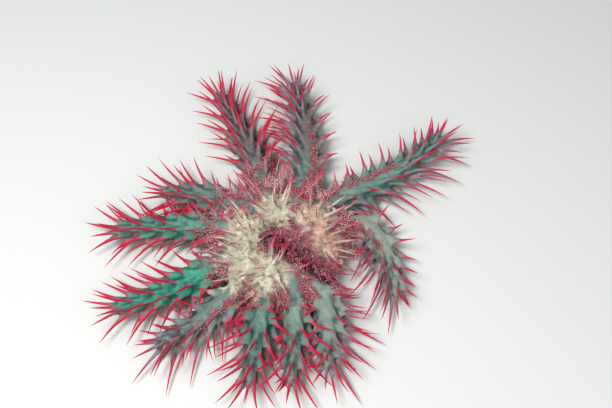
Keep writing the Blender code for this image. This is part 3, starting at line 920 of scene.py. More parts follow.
def new_tree(name, inputs, output):
    """A Geometry Nodes tree with these named inputs, {name: kind of socket}, and its input node."""
    tree = bpy.data.node_groups.new(name, "GeometryNodeTree")
    for label, kind in inputs.items():
        tree.interface.new_socket(label, in_out="INPUT", socket_type="NodeSocket" + kind)
    tree.interface.new_socket(output, in_out="OUTPUT", socket_type="NodeSocketGeometry")
    return tree, add(tree, "NodeGroupInput")


def grown(name, mesh, tree, values):
    """A piece: the plain mesh that this tree grows from mesh, with its inputs set to these values."""
    obj = add_object(name, mesh)
    modifier = obj.modifiers.new(name, "NODES")
    modifier.node_group = tree
    for item in tree.interface.items_tree:
        if item.in_out == "INPUT" and item.name in values:
            modifier[item.identifier] = values[item.name]
    obj.data = evaluated_mesh(obj)
    obj.modifiers.clear()
    return obj


def profile_curves(tree, ring, profile):
    """Turns a ring's number, from 0 at the foot to 1 at the tip, into its height and into its girth."""
    last = len(profile) - 1
    curves = []
    for column in zip(*profile):
        curve = add(tree, "ShaderNodeFloatCurve", {"Value": ring})
        line = curve.mapping.curves[0]
        line.points[0].location = (0, column[0])
        line.points[-1].location = (1, column[-1])
        for i in range(1, last):
            line.points.new(i / last, column[i])
        for point in line.points:
            point.handle_type = "VECTOR"
        curve.mapping.update()
        curves.append(curve)
    return curves


def stalk_shape(tree, given, profile):
    """One stalk of this profile, 1 high, that keeps its own map (patch) and how far up it each point is."""
    sides = {"Vertices": given.outputs["Sides"], "Side Segments": len(profile) - 1}
    cone = add(tree, "GeometryNodeMeshCone", {**sides, "Radius Top": 0.0, "Depth": 1.0})
    own_map = {"Geometry": cone, "Name": "patch", "Value": cone.outputs["UV Map"]}
    patch = add(tree, "GeometryNodeStoreNamedAttribute", own_map, data_type="FLOAT2", domain="CORNER")
    step = add(tree, "ShaderNodeSeparateXYZ", {0: add(tree, "GeometryNodeInputPosition")})
    height, girth = profile_curves(tree, step.outputs["Z"], profile)
    # The cone narrows evenly, so each ring is widened from there to the girth that the profile gives it
    narrowing = add(tree, "ShaderNodeMath", {0: 1.0, 1: step.outputs["Z"]}, operation="SUBTRACT")
    narrowing = add(tree, "ShaderNodeMath", {0: narrowing, 1: 1e-4}, operation="MAXIMUM")
    widening = add(tree, "ShaderNodeMath", {0: girth, 1: narrowing}, operation="DIVIDE")
    x, y = (
        add(tree, "ShaderNodeMath", {0: step.outputs[side], 1: widening}, operation="MULTIPLY")
        for side in ("X", "Y")
    )
    place = add(tree, "ShaderNodeCombineXYZ", {"X": x, "Y": y, "Z": height})
    shaped = add(tree, "GeometryNodeSetPosition", {"Geometry": patch, "Position": place})
    risen = {"Geometry": shaped, "Name": "along", "Value": height}
    return add(tree, "GeometryNodeStoreNamedAttribute", risen)


def stood_on(tree, points, stalk):
    """A copy of the stalk on each point, by the point's axis, girth and reach, and turned at random."""
    axis = add(tree, "GeometryNodeInputNamedAttribute", {"Name": "axis"}, data_type="FLOAT_VECTOR")
    upright = add(tree, "FunctionNodeAlignRotationToVector", {"Vector": axis}, axis="Z")
    spin = add(tree, "FunctionNodeRandomValue", {"Min": 0.0, "Max": 2 * math.pi, "Seed": RANDOM_SEED})
    spin = add(tree, "FunctionNodeEulerToRotation", {0: add(tree, "ShaderNodeCombineXYZ", {"Z": spin})})
    turns = {"Rotation": upright, "Rotate By": spin}
    turned = add(tree, "FunctionNodeRotateRotation", turns, rotation_space="LOCAL")
    thick, long = (
        add(tree, "GeometryNodeInputNamedAttribute", {"Name": label}) for label in ("girth", "reach")
    )
    scale = add(tree, "ShaderNodeCombineXYZ", {"X": thick, "Y": thick, "Z": long})
    stood = {"Points": points, "Instance": stalk, "Rotation": turned, "Scale": scale}
    stalks = add(tree, "GeometryNodeInstanceOnPoints", stood)
    return add(tree, "GeometryNodeRealizeInstances", {0: stalks})


def bowed(tree, stalks):
    """The stalks, each bent aside by its bow: not at foot and tip, and by the whole of it half way up."""
    up = add(tree, "GeometryNodeInputNamedAttribute", {"Name": "along"})
    left = add(tree, "ShaderNodeMath", {0: 1.0, 1: up}, operation="SUBTRACT")
    bend = add(tree, "ShaderNodeMath", {0: up, 1: left}, operation="MULTIPLY")
    bend = add(tree, "ShaderNodeMath", {0: bend, 1: 4.0}, operation="MULTIPLY")
    bow = add(tree, "GeometryNodeInputNamedAttribute", {"Name": "bow"}, data_type="FLOAT_VECTOR")
    offset = add(tree, "ShaderNodeVectorMath", {0: bow, "Scale": bend}, operation="SCALE")
    return add(tree, "GeometryNodeSetPosition", {"Geometry": stalks, "Offset": offset})


def with_bake_map(tree, stalks, width):
    """The stalks with each one's own map shrunk to a patch of this width, laid about its root's place."""
    corner, root = (
        add(tree, "GeometryNodeInputNamedAttribute", {"Name": label}, data_type="FLOAT_VECTOR")
        for label in ("patch", "root")
    )
    corner = add(tree, "ShaderNodeVectorMath", {0: corner, 1: (0.5, 0.5, 0)}, operation="SUBTRACT")
    corner = add(tree, "ShaderNodeVectorMath", {0: corner, "Scale": width}, operation="SCALE")
    corner = add(tree, "ShaderNodeVectorMath", {0: corner, 1: root})
    new_map = {"Geometry": stalks, "Name": BAKE_MAP, "Value": corner}
    return add(tree, "GeometryNodeStoreNamedAttribute", new_map, data_type="FLOAT2", domain="CORNER")


def stalk_tree(name, profile):
    """Grows a stalk on each point, and ends in plain faces. A point's own attributes say which way its stalk
    goes (axis), its length (reach), its thickness (girth), how far its middle is bent aside (bow) and where
    its patch of the bake map lies (root). profile has the height and girth of each ring, from 0 to 1."""
    inputs = {"Points": "Geometry", "Sides": "Int", "Patch": "Float", "Material": "Material"}
    tree, given = new_tree(name, inputs, "Stalks")
    stalks = stood_on(tree, given.outputs["Points"], stalk_shape(tree, given, profile))
    stalks = with_bake_map(tree, bowed(tree, stalks), given.outputs["Patch"])
    for spent in ("patch", "root", "axis", "bow", "girth", "reach"):
        stalks = add(tree, "GeometryNodeRemoveAttribute", {"Geometry": stalks, "Name": spent})
    soft = add(tree, "GeometryNodeSetShadeSmooth", {"Geometry": stalks})
    coated = {"Geometry": soft, "Material": given.outputs["Material"]}
    add(tree, "NodeGroupOutput", {0: add(tree, "GeometryNodeSetMaterial", coated)})
    return tree


def gill_tree(stalks):
    """Scatters gills over a surface, as thickly as its gills attribute says, and grows each by stalks."""
    sizes = dict.fromkeys(("Spacing", "Reach", "Girth"), "Float")
    inputs = {"Surface": "Geometry", **sizes, "Sides": "Int", "Seed": "Int", "Material": "Material"}
    tree, given = new_tree("gills_over_skin", inputs, "Gills")
    scatter = {
        "Mesh": given.outputs["Surface"],
        "Distance Min": given.outputs["Spacing"],
        "Density Max": GILL_TRIES,
        "Density Factor": add(tree, "GeometryNodeInputNamedAttribute", {"Name": "gills"}),
        "Seed": given.outputs["Seed"],
    }
    points = add(tree, "GeometryNodeDistributePointsOnFaces", scatter, distribute_method="POISSON")
    limits = {"Min": (-GILL_SWAY,) * 3, "Max": (GILL_SWAY,) * 3, "Seed": RANDOM_SEED + 1}
    sway = add(tree, "FunctionNodeRandomValue", limits, data_type="FLOAT_VECTOR")
    axis = add(tree, "ShaderNodeVectorMath", {0: points.outputs["Normal"], 1: sway})
    least, most = GILL_LENGTHS
    vary = add(tree, "FunctionNodeRandomValue", {"Min": least, "Max": most, "Seed": RANDOM_SEED + 2})
    tan = add(tree, "GeometryNodeInputNamedAttribute", {"Name": "tan"})
    fineness = add(tree, "ShaderNodeMapRange", {"Value": tan, "To Min": 1.0, "To Max": GILLS_ON_LOBES})
    girth = add(tree, "ShaderNodeMath", {0: fineness, 1: given.outputs["Girth"]}, operation="MULTIPLY")
    vary = add(tree, "ShaderNodeMath", {0: vary, 1: fineness}, operation="MULTIPLY")
    reach = add(tree, "ShaderNodeMath", {0: vary, 1: given.outputs["Reach"]}, operation="MULTIPLY")
    tint = add(tree, "FunctionNodeRandomValue", {"Seed": RANDOM_SEED + 3})
    root = add(tree, "GeometryNodeInputNamedAttribute", {"Name": BAKE_MAP}, data_type="FLOAT_VECTOR")
    geometry = points
    numbers = {"reach": reach, "girth": girth, "tint": tint}
    vectors = {"axis": axis, "root": root}
    for label, value in {**numbers, **vectors}.items():
        noted = {"Geometry": geometry, "Name": label, "Value": value}
        kind = "FLOAT" if label in numbers else "FLOAT_VECTOR"
        geometry = add(tree, "GeometryNodeStoreNamedAttribute", noted, data_type=kind)
    geometry = add(tree, "GeometryNodeRemoveAttribute", {"Geometry": geometry, "Name": BAKE_MAP})
    passed_on = {label: given.outputs[label] for label in ("Sides", "Material")}
    values = {"Points": geometry, "Patch": GILL_PATCH, **passed_on}
    group = add(tree, "GeometryNodeGroup", values, node_tree=stalks)
    add(tree, "NodeGroupOutput", {0: group})
    return tree


# ---- Materials ------------------------------------------------------------------------------------


def new_material(name):
    material = bpy.data.materials.new(name)
    material.use_nodes = True
    material.node_tree.nodes.clear()
    return material, material.node_tree


def marks(tree, *names):
    """The number that each of these attributes has."""
    return [add(tree, "ShaderNodeAttribute", attribute_name=name).outputs["Fac"] for name in names]


def layered(tree, colour, layers):
    """The ground colour with each (colour, mask, share) laid over it in turn, by that share of the mask."""
    for over, mask, share in layers:
        if share != 1:
            mask = add(tree, "ShaderNodeMath", {0: mask, 1: share}, operation="MULTIPLY")
        colour = add(tree, "ShaderNodeMix", {"Factor": mask, "A": colour, "B": over}, data_type="RGBA")
    return colour


def finish(tree, shader_inputs, relief=None, depth=0.0, strength=0.5):
    """Ends a material in its shader. relief, if it has one, is the height of its surface, and depth how deep
    that goes."""
    if relief:
        raised = {"Strength": strength, "Distance": depth, "Height": relief}
        shader_inputs["Normal"] = add(tree, "ShaderNodeBump", raised)
    shader = add(tree, "ShaderNodeBsdfPrincipled", shader_inputs)
    add(tree, "ShaderNodeOutputMaterial", {"Surface": shader})


def ramp(tree, value, stops):
    """The colour at this value, between (place, hex code) stops."""
    node = add(tree, "ShaderNodeValToRGB", {0: value})
    elements = node.color_ramp.elements
    elements[0].position, elements[1].position = stops[0][0], stops[-1][0]
    elements[0].color, elements[1].color = linear(stops[0][1]), linear(stops[-1][1])
    for position, code in stops[1:-1]:
        elements.new(position).color = linear(code)
    return node


ARM_SPINE_COLOURS = (
    (0.0, "#6f847f"),
    (0.22, "#837e84"),
    (0.39, "#9f5a6c"),
    (0.54, "#bb2b49"),
    (0.76, "#cf1238"),
    (1.0, "#c40f33"),
)
LOBE_SPINE_COLOURS = (
    (0.0, "#bfbfa8"),
    (0.28, "#dacfbc"),
    (0.46, "#dab4aa"),
    (0.63, "#cf8690"),
    (0.82, "#c84a68"),
    (1.0, "#c42a4b"),
)
# Spines in the cleft: their own red, darkened most at the foot as painted shade
CLEFT_SHADED_SPINE_COLOURS = ((0.0, "#5f3d46"), (0.3, "#8a5160"), (0.65, "#bd3a58"), (1.0, "#d0304f"))
BLUSH = 0.17  # how much sooner the red begins on an arm whose sides are alike


def spine_colours(tree, along, pale, cleft, even):
    """A spine's colours from foot to tip: on the arms, paler on the disc's lobes, and darkened by painted
    shade in its cleft.
    """
    blush = add(tree, "ShaderNodeMath", {0: even, 1: BLUSH}, operation="MULTIPLY")
    reddened = add(tree, "ShaderNodeMath", {0: along, 1: blush})
    layers = [
        (ramp(tree, along, LOBE_SPINE_COLOURS), pale, 1),
        (ramp(tree, along, CLEFT_SHADED_SPINE_COLOURS), cleft, 1),
    ]
    return layered(tree, ramp(tree, reddened, ARM_SPINE_COLOURS), layers)


def skin_material():
    """Living skin over a chalky lattice: matt, slightly damp, finely granular, in clouds of colour. Shade is
    painted into its hollows, its cleft and, in part, its mauve, and light onto the arms' crests.
    """
    material, tree = new_material("granular_living_skin")
    place = add(tree, "ShaderNodeTexCoord").outputs["Object"]
    tan, rosy, green, crest, gills, back = marks(tree, "tan", "rosy", "green", "crest", "gills", "back")
    mauve, sunk, disc, flank, hollow, fold = marks(tree, "mauve", "sunk", "disc", "flank", "hollow", "fold")
    patched, bloom = marks(tree, "patched", "bloom")
    sheathed, along, pale, cleft, even = marks(tree, "sheathed", "along", "pale", "cleft", "even")
    clouds, mottles, specks = (
        add(tree, "ShaderNodeTexNoise", {"Vector": place, "Scale": 1 / size, "Detail": detail})
        for size, detail in ((9 * MM, 4.0), (3.2 * MM, 3.0), (1.4 * MM, 2.0))
    )
    # The real granules are about 0.3 mm across, and too fine to show, so these are three times as coarse
    granules = add(tree, "ShaderNodeTexVoronoi", {"Vector": place, "Scale": 1 / (0.9 * MM)})
    limits = ((clouds, 0.35, 0.65), (mottles, 0.48, 0.66), (specks, 0.40, 0.62), (granules, 0.28, 0.12))
    cloudy, mottled, speckled, dotted = (
        add(tree, "ShaderNodeMapRange", {"Value": value, "From Min": start, "From Max": end})
        for value, start, end in limits
    )
    # Painted light: the arms' crests are lighter, as where the light falls on them, broken up by the clouds
    crest_painted_light = add(tree, "ShaderNodeMath", {0: crest, 1: cloudy}, operation="MULTIPLY")
    straw = layered(
        tree,
        "#d5d2bb",
        [
            ("#eab09e", rosy, 1),
            ("#93b99c", cloudy, 0.55),
            # Painted shade: a darker green in the lobes' hollows
            ("#6f8f76", hollow, 0.5),
            ("#a9655f", speckled, 0.42),
            ("#ece4cc", dotted, 0.6),
        ],
    )
    verdant = layered(tree, "#187c65", [("#43a689", cloudy, 0.7)])
    # Partly painted shade: a dark reddish brown, the skin's own flush darkened further, darkest in the
    # hollows
    dusky = layered(tree, "#67434a", [("#8a5f6c", fold, 0.6), ("#35191f", hollow, 0.8)])
    below = add(tree, "ShaderNodeMath", {0: 1.0, 1: back}, operation="SUBTRACT")
    colour = layered(
        tree,
        "#587570",
        [
            ("#86a29b", crest_painted_light, 0.7),
            ("#4b5154", mottled, 0.25),
            ("#845468", fold, 0.4),
            (verdant, green, 1),
            ("#a6a898", bloom, 0.7),
            # Painted shade: deep teal in the hollows between the folds and spines
            ("#11393f", hollow, 0.66),
            (dusky, mauve, 0.7),
            ("#6a182d", flank, 0.85),
            ("#74666a", disc, 0.25),
            ("#8c2038", gills, 0.7),
            (straw, tan, 1),
            ("#8e1f36", patched, 0.85),
            # Partly painted shade: the cleft's skin is red-brown of its own, darkened further as shade
            ("#3f1822", sunk, 0.92),
            ("#a8957a", below, 1),
            (spine_colours(tree, along, pale, cleft, even), sheathed, 1),
            ("#3c4a45", speckled, 0.10),
        ],
    )
    relief = add(tree, "ShaderNodeMath", {0: specks, 1: granules}, operation="SUBTRACT")
    damp = {"Value": specks, "From Min": 0.3, "From Max": 0.7, "To Min": 0.42, "To Max": 0.62}
    roughness = add(tree, "ShaderNodeMapRange", damp)
    wet_skin = {"Base Color": colour, "Roughness": roughness, "IOR": 1.38, "Specular IOR Level": 0.4}
    finish(tree, wet_skin, relief, depth=0.3 * MM, strength=0.55)
    return material


def spine_material():
    """Thin skin drawn tight over a chalky spine: satin, flesh coloured at the foot, crimson at the point."""
    material, tree = new_material("skin_sheathed_spine")
    along, pale, cleft, even, tint = marks(tree, "along", "pale", "cleft", "even", "tint")
    place = add(tree, "ShaderNodeTexCoord").outputs["Object"]
    spread = add(tree, "ShaderNodeMapRange", {"Value": tint, "To Min": -0.25, "To Max": 0.25})
    spread = add(tree, "ShaderNodeMath", {0: spread, 1: along}, operation="MULTIPLY")
    shifted = add(tree, "ShaderNodeMath", {0: along, 1: spread})
    colour = spine_colours(tree, shifted, pale, cleft, even)
    grain = add(tree, "ShaderNodeTexNoise", {"Vector": place, "Scale": 1 / (0.5 * MM), "Detail": 2.0})
    granules = add(tree, "ShaderNodeTexVoronoi", {"Vector": place, "Scale": 1 / (0.6 * MM)})
    pits = add(tree, "ShaderNodeMapRange", {"Value": granules, "From Min": 0.35, "From Max": 0.8})
    colour = layered(tree, colour, [("#5c2433", grain, 0.12), ("#7c2b3c", pits, 0.22)])
    relief = add(tree, "ShaderNodeMath", {0: grain, 1: granules}, operation="SUBTRACT")
    satin = {"Base Color": colour, "Roughness": 0.46, "IOR": 1.4, "Specular IOR Level": 0.35}
    finish(tree, satin, relief, depth=0.22 * MM)
    return material


def furrow_spine_material():
    """The blunt spines of the underside: satin skin over chalk, bone coloured, flushed at the tip."""
    material, tree = new_material("skin_sheathed_furrow_spine")
    along, tint = marks(tree, "along", "tint")
    place = add(tree, "ShaderNodeTexCoord").outputs["Object"]
    colour = ramp(tree, along, ((0.0, "#8a7763"), (0.4, "#b39a80"), (0.75, "#c99a88"), (1.0, "#bf6a6c")))
    grain = add(tree, "ShaderNodeTexNoise", {"Vector": place, "Scale": 1 / (0.5 * MM), "Detail": 2.0})
    colour = layered(tree, colour, [("#a8676a", tint, 0.45), ("#6f5446", grain, 0.2)])
    satin = {"Base Color": colour, "Roughness": 0.48, "IOR": 1.4, "Specular IOR Level": 0.35}
    finish(tree, satin, grain, depth=0.15 * MM, strength=0.4)
    return material


def gill_material():
    """Skin gills: thin-walled wet fingers, deep red at the foot and pale at the blind tip."""
    material, tree = new_material("skin_gill")
    along, tan, tint, patched, rosy, bloom = marks(tree, "along", "tan", "tint", "patched", "rosy", "bloom")
    on_arms = ramp(tree, along, ((0.0, "#7c1024"), (0.5, "#a51c36"), (0.85, "#c04a60"), (1.0, "#e4a6ac")))
    on_lobes = ramp(tree, along, ((0.0, "#a8957a"), (0.6, "#c0b292"), (0.9, "#d3c9ab"), (1.0, "#efe8d2")))
    limits = ((tint, 0.52, 0.6, 0.85), (tint, 0.7, 0.9, 0.5), (along, 0.6, 0.95, 0.9))
    redder, whiter, pale_tip = (
        add(tree, "ShaderNodeMapRange", {"Value": value, "From Min": start, "From Max": end, "To Max": most})
        for value, start, end, most in limits
    )
    pale_tip = add(tree, "ShaderNodeMath", {0: pale_tip, 1: patched}, operation="MULTIPLY")
    on_lobes = layered(tree, on_lobes, [("#e0a898", rosy, 0.6), ("#b65058", redder, 1)])
    on_arms = layered(tree, on_arms, [("#e0d2cc", whiter, 1), ("#f0dcd8", pale_tip, 1)])
    colour = layered(tree, on_arms, [("#cf9f98", bloom, 0.4), (on_lobes, tan, 1)])
    finish(tree, {"Base Color": colour, "Roughness": 0.38, "IOR": 1.36, "Specular IOR Level": 0.4})
    return material


def foot_material():
    """Tube feet: translucent straw-coloured muscle, with a paler sucker."""
    material, tree = new_material("tube_foot_muscle")
    along, tint = marks(tree, "along", "tint")
    colour = ramp(tree, along, ((0.0, "#8f6f45"), (0.5, "#b8975f"), (0.88, "#c9ab78"), (1.0, "#e4d6b4")))
    colour = layered(tree, colour, [("#7d5a3c", tint, 0.4)])
    finish(tree, {"Base Color": colour, "Roughness": 0.35, "IOR": 1.37, "Specular IOR Level": 0.4})
    return material


# ---- Pieces ---------------------------------------------------------------------------------------

Stalk = namedtuple("Stalk", "foot tip girth bow")
# (height, girth) of each ring of a stalk, from foot to tip, as shares of its reach and of its girth
SPINE_PROFILE = [(i / 10, spine_girth(i / 10)) for i in range(11)]
GILL_PROFILE = ((0, 1.15), (0.35, 0.85), (0.75, 0.8), (0.94, 0.5), (1, 0))
FOOT_PROFILE = ((0, 1), (0.3, 0.8), (0.8, 0.7), (0.93, 1.35), (0.985, 1.45), (1, 0))
BLUNT_PROFILE = ((0, 1), (0.35, 1), (0.75, 0.85), (0.95, 0.5), (1, 0))
PATCH_SHARE = 0.96  # how much of its cell of the bake map a stalk's patch fills


def join_model(piece, slot, material=None):
    """Gives a piece its material, where it has none yet, and says what body it belongs to. slot is not used.
    """
    if material:
        piece.data.materials.append(material)
    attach(piece, "root")


def stalk_points(name, stalks, **values):
    """A mesh of bare points, one at each stalk's foot, with what a stalk tree reads and the markings. Also
    the width of a stalk's patch of the bake map."""
    mesh = bpy.data.meshes.new(name)
    mesh.from_pydata([stalk.foot for stalk in stalks], [], [])
    axes = np.array([stalk.tip - stalk.foot for stalk in stalks])
    cells = math.ceil(math.sqrt(len(stalks)))
    store(mesh, "axis", axes)
    store(mesh, "reach", np.linalg.norm(axes, axis=1))
    store(mesh, "girth", [stalk.girth for stalk in stalks])
    store(mesh, "bow", [stalk.bow for stalk in stalks])
    store(mesh, "tint", [rng.random() for _ in stalks])
    middles = [((i % cells + 0.5) / cells, (i // cells + 0.5) / cells, 0) for i in range(len(stalks))]
    store(mesh, "root", middles)
    for label, numbers in {**markings_of(coordinates(mesh)), **values}.items():
        store(mesh, label, np.broadcast_to(numbers, len(stalks)))
    return mesh, PATCH_SHARE / cells


def grow_stalks(name, stalks, profile, sides, material, slot, **values):
    """A piece of joined stalks, each with a cell of the bake map to itself."""
    mesh, patch = stalk_points(name, stalks, **values)
    tree = stalk_tree(name + "_tree", profile)
    join_model(grown(name, mesh, tree, {"Sides": sides, "Patch": patch, "Material": material}), slot)


def spine_stalks(spines):
    girths = [SPINE_RADIUS * spine.stoutness * rng.uniform(0.92, 1.08) for spine in spines]
    return [Stalk(spine.foot, spine.tip, girth, spine.bow) for spine, girth in zip(spines, girths)]


def groove_sides(spacing):
    """(point, heading, across, taper) at even steps along every groove, from mouth to tip, for its two sides
    in turn. across points off the groove, to that side."""
    lead_in = int((DISC_RADIUS - MOUTH_RADIUS - 1 * MM) / spacing)
    for arm, line in zip(ARMS, arm_lines):
        heading = direction(arm.bearing)
        steps = [(heading * (MOUTH_RADIUS + 1 * MM + i * spacing), heading, 1.0) for i in range(lead_in)]
        count = int(GROOVE_END * arm.length / spacing)
        for share in (GROOVE_END * i / count for i in range(count)):
            steps.append((*line[round(share * LINE_STEPS)], kept(share)))
        for point, heading, taper in steps:
            for side in (-1, 1):
                yield point, heading, Vector((-heading.y, heading.x, 0)) * side, taper


def tube_feet():
    """Two rows of tube feet in every groove, down to the floor."""
    feet = []
    for point, heading, across, taper in groove_sides(FOOT_SPACING):
        root = point + across * FOOT_OFF_MIDDLE * taper + Vector((0, 0, UNDERSIDE + FOOT_SINK))
        splay = across * rng.uniform(*FOOT_SPLAY) * taper + heading * rng.uniform(-FOOT_STRAY, FOOT_STRAY)
        tip = Vector((root.x, root.y, SOLE)) + splay
        bow = across * rng.uniform(0, FOOT_BOW)
        feet.append(Stalk(root, tip, rng.uniform(*FOOT_GIRTH) * (0.5 + 0.5 * taper), bow))
    return feet


def groove_spines():
    """The short blunt spines that fence each groove."""
    fence = []
    for point, _, across, taper in groove_sides(FENCE_SPACING):
        root = point + across * (FENCE_OFF_MIDDLE * taper) + Vector((0, 0, UNDERSIDE + SPINE_SINK))
        tip = root + across * rng.uniform(*FENCE_LEAN) - Vector((0, 0, rng.uniform(*FENCE_DROP)))
        fence.append(Stalk(root, tip, rng.uniform(*FENCE_GIRTH), Vector()))
    return fence


def underside_spines(surface):
    """The short blunt spines between the grooves and the margin, pointing out and down."""
    steps = np.arange(-0.2, 0.2, FIELD_SPACING)
    field = []
    for x in steps:
        for y in steps:
            aside, ahead = (rng.uniform(-0.3, 0.3) * FIELD_SPACING for _ in range(2))
            below = Vector((x + aside, y + ahead, -10 * MM))
            foot, normal, _, _ = surface.ray_cast(below, Vector((0, 0, 1)))
            if foot and normal.z < -0.7 and foot.z < UNDERSIDE + 4 * MM:
                field.append(foot)
    places = places_of(np.array(field))
    stalks = []
    for i, foot in enumerate(field):
        taper = kept(places.share[i])
        if abs(places.off[i]) < FIELD_EDGE * taper or places.out[i] < MOUTH_RADIUS + 8 * MM:
            continue
        heading = arm_lines[places.arm[i]][round(places.share[i] * LINE_STEPS)][1]
        outwards = Vector((-heading.y, heading.x, 0)) * math.copysign(1, places.off[i]) + heading * 0.4
        reach = rng.uniform(*FIELD_REACH) * (0.6 + 0.4 * taper)
        tip = foot + outwards * reach - Vector((0, 0, foot.z - rng.uniform(*FIELD_TIP)))
        root = foot + Vector((0, 0, SPINE_SINK))
        stalks.append(Stalk(root, tip, rng.uniform(*FIELD_GIRTH) * taper, Vector()))
    return stalks


def mouth_spines():
    """Stout blunt spines that point in over the mouth, from between the grooves."""
    fence = []
    bearings = sorted(arm.bearing for arm in ARMS)
    for near, far in zip(bearings, bearings[1:] + [bearings[0] + 360]):
        for share in (0.35, 0.65):
            for out, reach in MOUTH_ROWS:
                inward = -direction(near + (far - near) * share)
                root = -inward * out + Vector((0, 0, UNDERSIDE + 1.5 * SPINE_SINK))
                tip = root + inward * reach * 0.75 - Vector((0, 0, rng.uniform(0.55, 0.75) * reach))
                fence.append(Stalk(root, tip, rng.uniform(*MOUTH_GIRTH), Vector()))
    return fence


# (distance from the middle, height) from the mouth's throat out over its lip and back in above it
MOUTH_PROFILE = (
    (1.2, 10.5),
    (2.2, 8.0),
    (3.0, 5.4),
    (4.0, 3.4),
    (5.4, 1.9),
    (7.0, 1.1),
    (8.8, 1.0),
    (10.4, 1.8),
    (11.6, 3.4),
    (12.2, 5.6),
    (10.5, 9.0),
    (6.0, 12.0),
)
MOUTH_FOLDS = 22
MOUTH_SIDES = 132


def smooth_shell(mesh, name):
    """A closed shell as an object's mesh, with its faces turned outwards and shaded smooth."""
    bmesh.ops.recalc_face_normals(mesh, faces=mesh.faces)
    data = as_data(mesh, name)
    data.shade_smooth()
    return data


def mouth_mesh():
    """A soft puckered ring round a throat, closed above inside the body. Its material paints the throat dark
    as shade.
    """
    mesh = bmesh.new()
    rings = []
    for out, height in MOUTH_PROFILE:
        folding = max(0.0, 1 - abs(out - 4.5) / 6) * (height < 8)
        ring = []
        for k in range(MOUTH_SIDES):
            turn = 2 * math.pi * k / MOUTH_SIDES
            wobble = noise.noise(Vector((math.cos(turn), math.sin(turn), out / 6)) * 1.5)
            fold = abs(math.sin(turn * MOUTH_FOLDS / 2 + wobble)) - 0.5
            radius = out * (1 - 0.16 * folding * fold + 0.05 * wobble)
            up = max(0.3, height + 0.9 * folding * fold + 0.3 * wobble)
            x, y = radius * math.cos(turn), radius * math.sin(turn)
            ring.append(mesh.verts.new((x * MM, y * MM, up * MM)))
        rings.append(ring)
    join_rings(mesh, rings)
    for ring in (rings[0], rings[-1]):
        pole = mesh.verts.new(sum((vert.co for vert in ring), Vector()) / len(ring))
        for k in range(MOUTH_SIDES):
            mesh.faces.new((ring[k], ring[(k + 1) % MOUTH_SIDES], pole))
    return smooth_shell(mesh, "mouth_lip")


def lip_material():
    """Puckered lip: soft wet membrane, salmon brown, with painted shade darkening it down the throat."""
    material, tree = new_material("wet_mouth_membrane")
    place = add(tree, "ShaderNodeTexCoord").outputs["Object"]
    height = add(tree, "ShaderNodeSeparateXYZ", {0: place}).outputs["Z"]
    folds = add(tree, "ShaderNodeTexNoise", {"Vector": place, "Scale": 1 / (1.2 * MM), "Detail": 3.0})
    # Painted shade: near black from 2 mm up, deep in the throat
    depth = add(tree, "ShaderNodeMapRange", {"Value": height, "From Min": 2 * MM, "From Max": 6 * MM})
    colour = layered(tree, "#c79478", [("#94544a", folds, 0.7), ("#2a0f12", depth, 1)])
    wet = {"Base Color": colour, "Roughness": 0.36, "IOR": 1.38, "Specular IOR Level": 0.45}
    finish(tree, wet, folds, depth=0.25 * MM)
    return material


# (distance from the middle, height) of a sieve plate's rings, as shares of its radius
PLATE_PROFILE = ((1.0, -0.35), (1.0, 0.05), (0.88, 0.24), (0.66, 0.36), (0.42, 0.42), (0.2, 0.42))
PLATE_FURROWS = 11  # round each plate
PLATE_SIDES = 44


def plate_ring(mesh, centre, upright, radius, out, height, phase):
    """One ring of a sieve plate, grooved by the furrows that wind in from its edge."""
    side = upright.orthogonal().normalized()
    other = upright.cross(side)
    ring = []
    for k in range(PLATE_SIDES):
        turn = 2 * math.pi * k / PLATE_SIDES
        furrow = 0.07 * math.cos(PLATE_FURROWS * (turn + 0.5 * out) + phase) * (height > 0)
        level = side * math.cos(turn) + other * math.sin(turn)
        ring.append(mesh.verts.new(centre + (level * out + upright * (height + furrow)) * radius))
    return ring


def sieve_plates(surface):
    """The pale grooved buttons that let water in, each set in the skin near the edge of the disc."""
    mesh = bmesh.new()
    for bearing, out, radius in SIEVE_PLATES:
        above = direction(bearing) * out + Vector((0, 0, 0.1))
        centre, upright, _, _ = surface.ray_cast(above, Vector((0, 0, -1)))
        phase = rng.uniform(0, math.pi)
        rings = [plate_ring(mesh, centre, upright, radius, *step, phase) for step in PLATE_PROFILE]
        join_rings(mesh, rings)
        mesh.faces.new(rings[0])
        mesh.faces.new(rings[-1])
    return smooth_shell(mesh, "sieve_plates")


def plate_material():
    """Chalky sieve plate: matt, bone coloured, flushed pink, with fine pores."""
    material, tree = new_material("chalky_sieve_plate")
    place = add(tree, "ShaderNodeTexCoord").outputs["Object"]
    blush = add(tree, "ShaderNodeTexNoise", {"Vector": place, "Scale": 1 / (1.5 * MM), "Detail": 3.0})
    pores = add(tree, "ShaderNodeTexVoronoi", {"Vector": place, "Scale": 1 / (0.35 * MM)})
    colour = layered(tree, "#d9c9b4", [("#b27a78", blush, 0.7)])
    finish(tree, {"Base Color": colour, "Roughness": 0.6}, pores, depth=0.1 * MM)
    return material


def tip_tentacles(surface):
    """The lone feeler, like a tube foot with no sucker, that reaches out from under the tip of each arm."""
    feelers = []
    for line in arm_lines:
        point, heading = line[-1]
        outside = Vector((point.x, point.y, FEELER_LEVEL)) + heading * BEYOND_TIP
        root = surface.ray_cast(outside, -heading)[0] - heading * SPINE_SINK
        tip = root + heading * FEELER_REACH + Vector((0, 0, rng.uniform(-FEELER_RISE, FEELER_RISE)))
        feelers.append(Stalk(root, tip, FEELER_GIRTH, Vector((0, 0, rng.uniform(*FEELER_BOW)))))
    return feelers


# ---- The animal -----------------------------------------------------------------------------------

spines, folds = [], []
skin = grow_skin(spines, folds)
faces_up = smooth(coordinates(skin.data, "normal")[:, 2], -0.6, -0.1)
for label, numbers in markings_of(coordinates(skin.data), faces_up).items():
    store(skin.data, label, numbers)
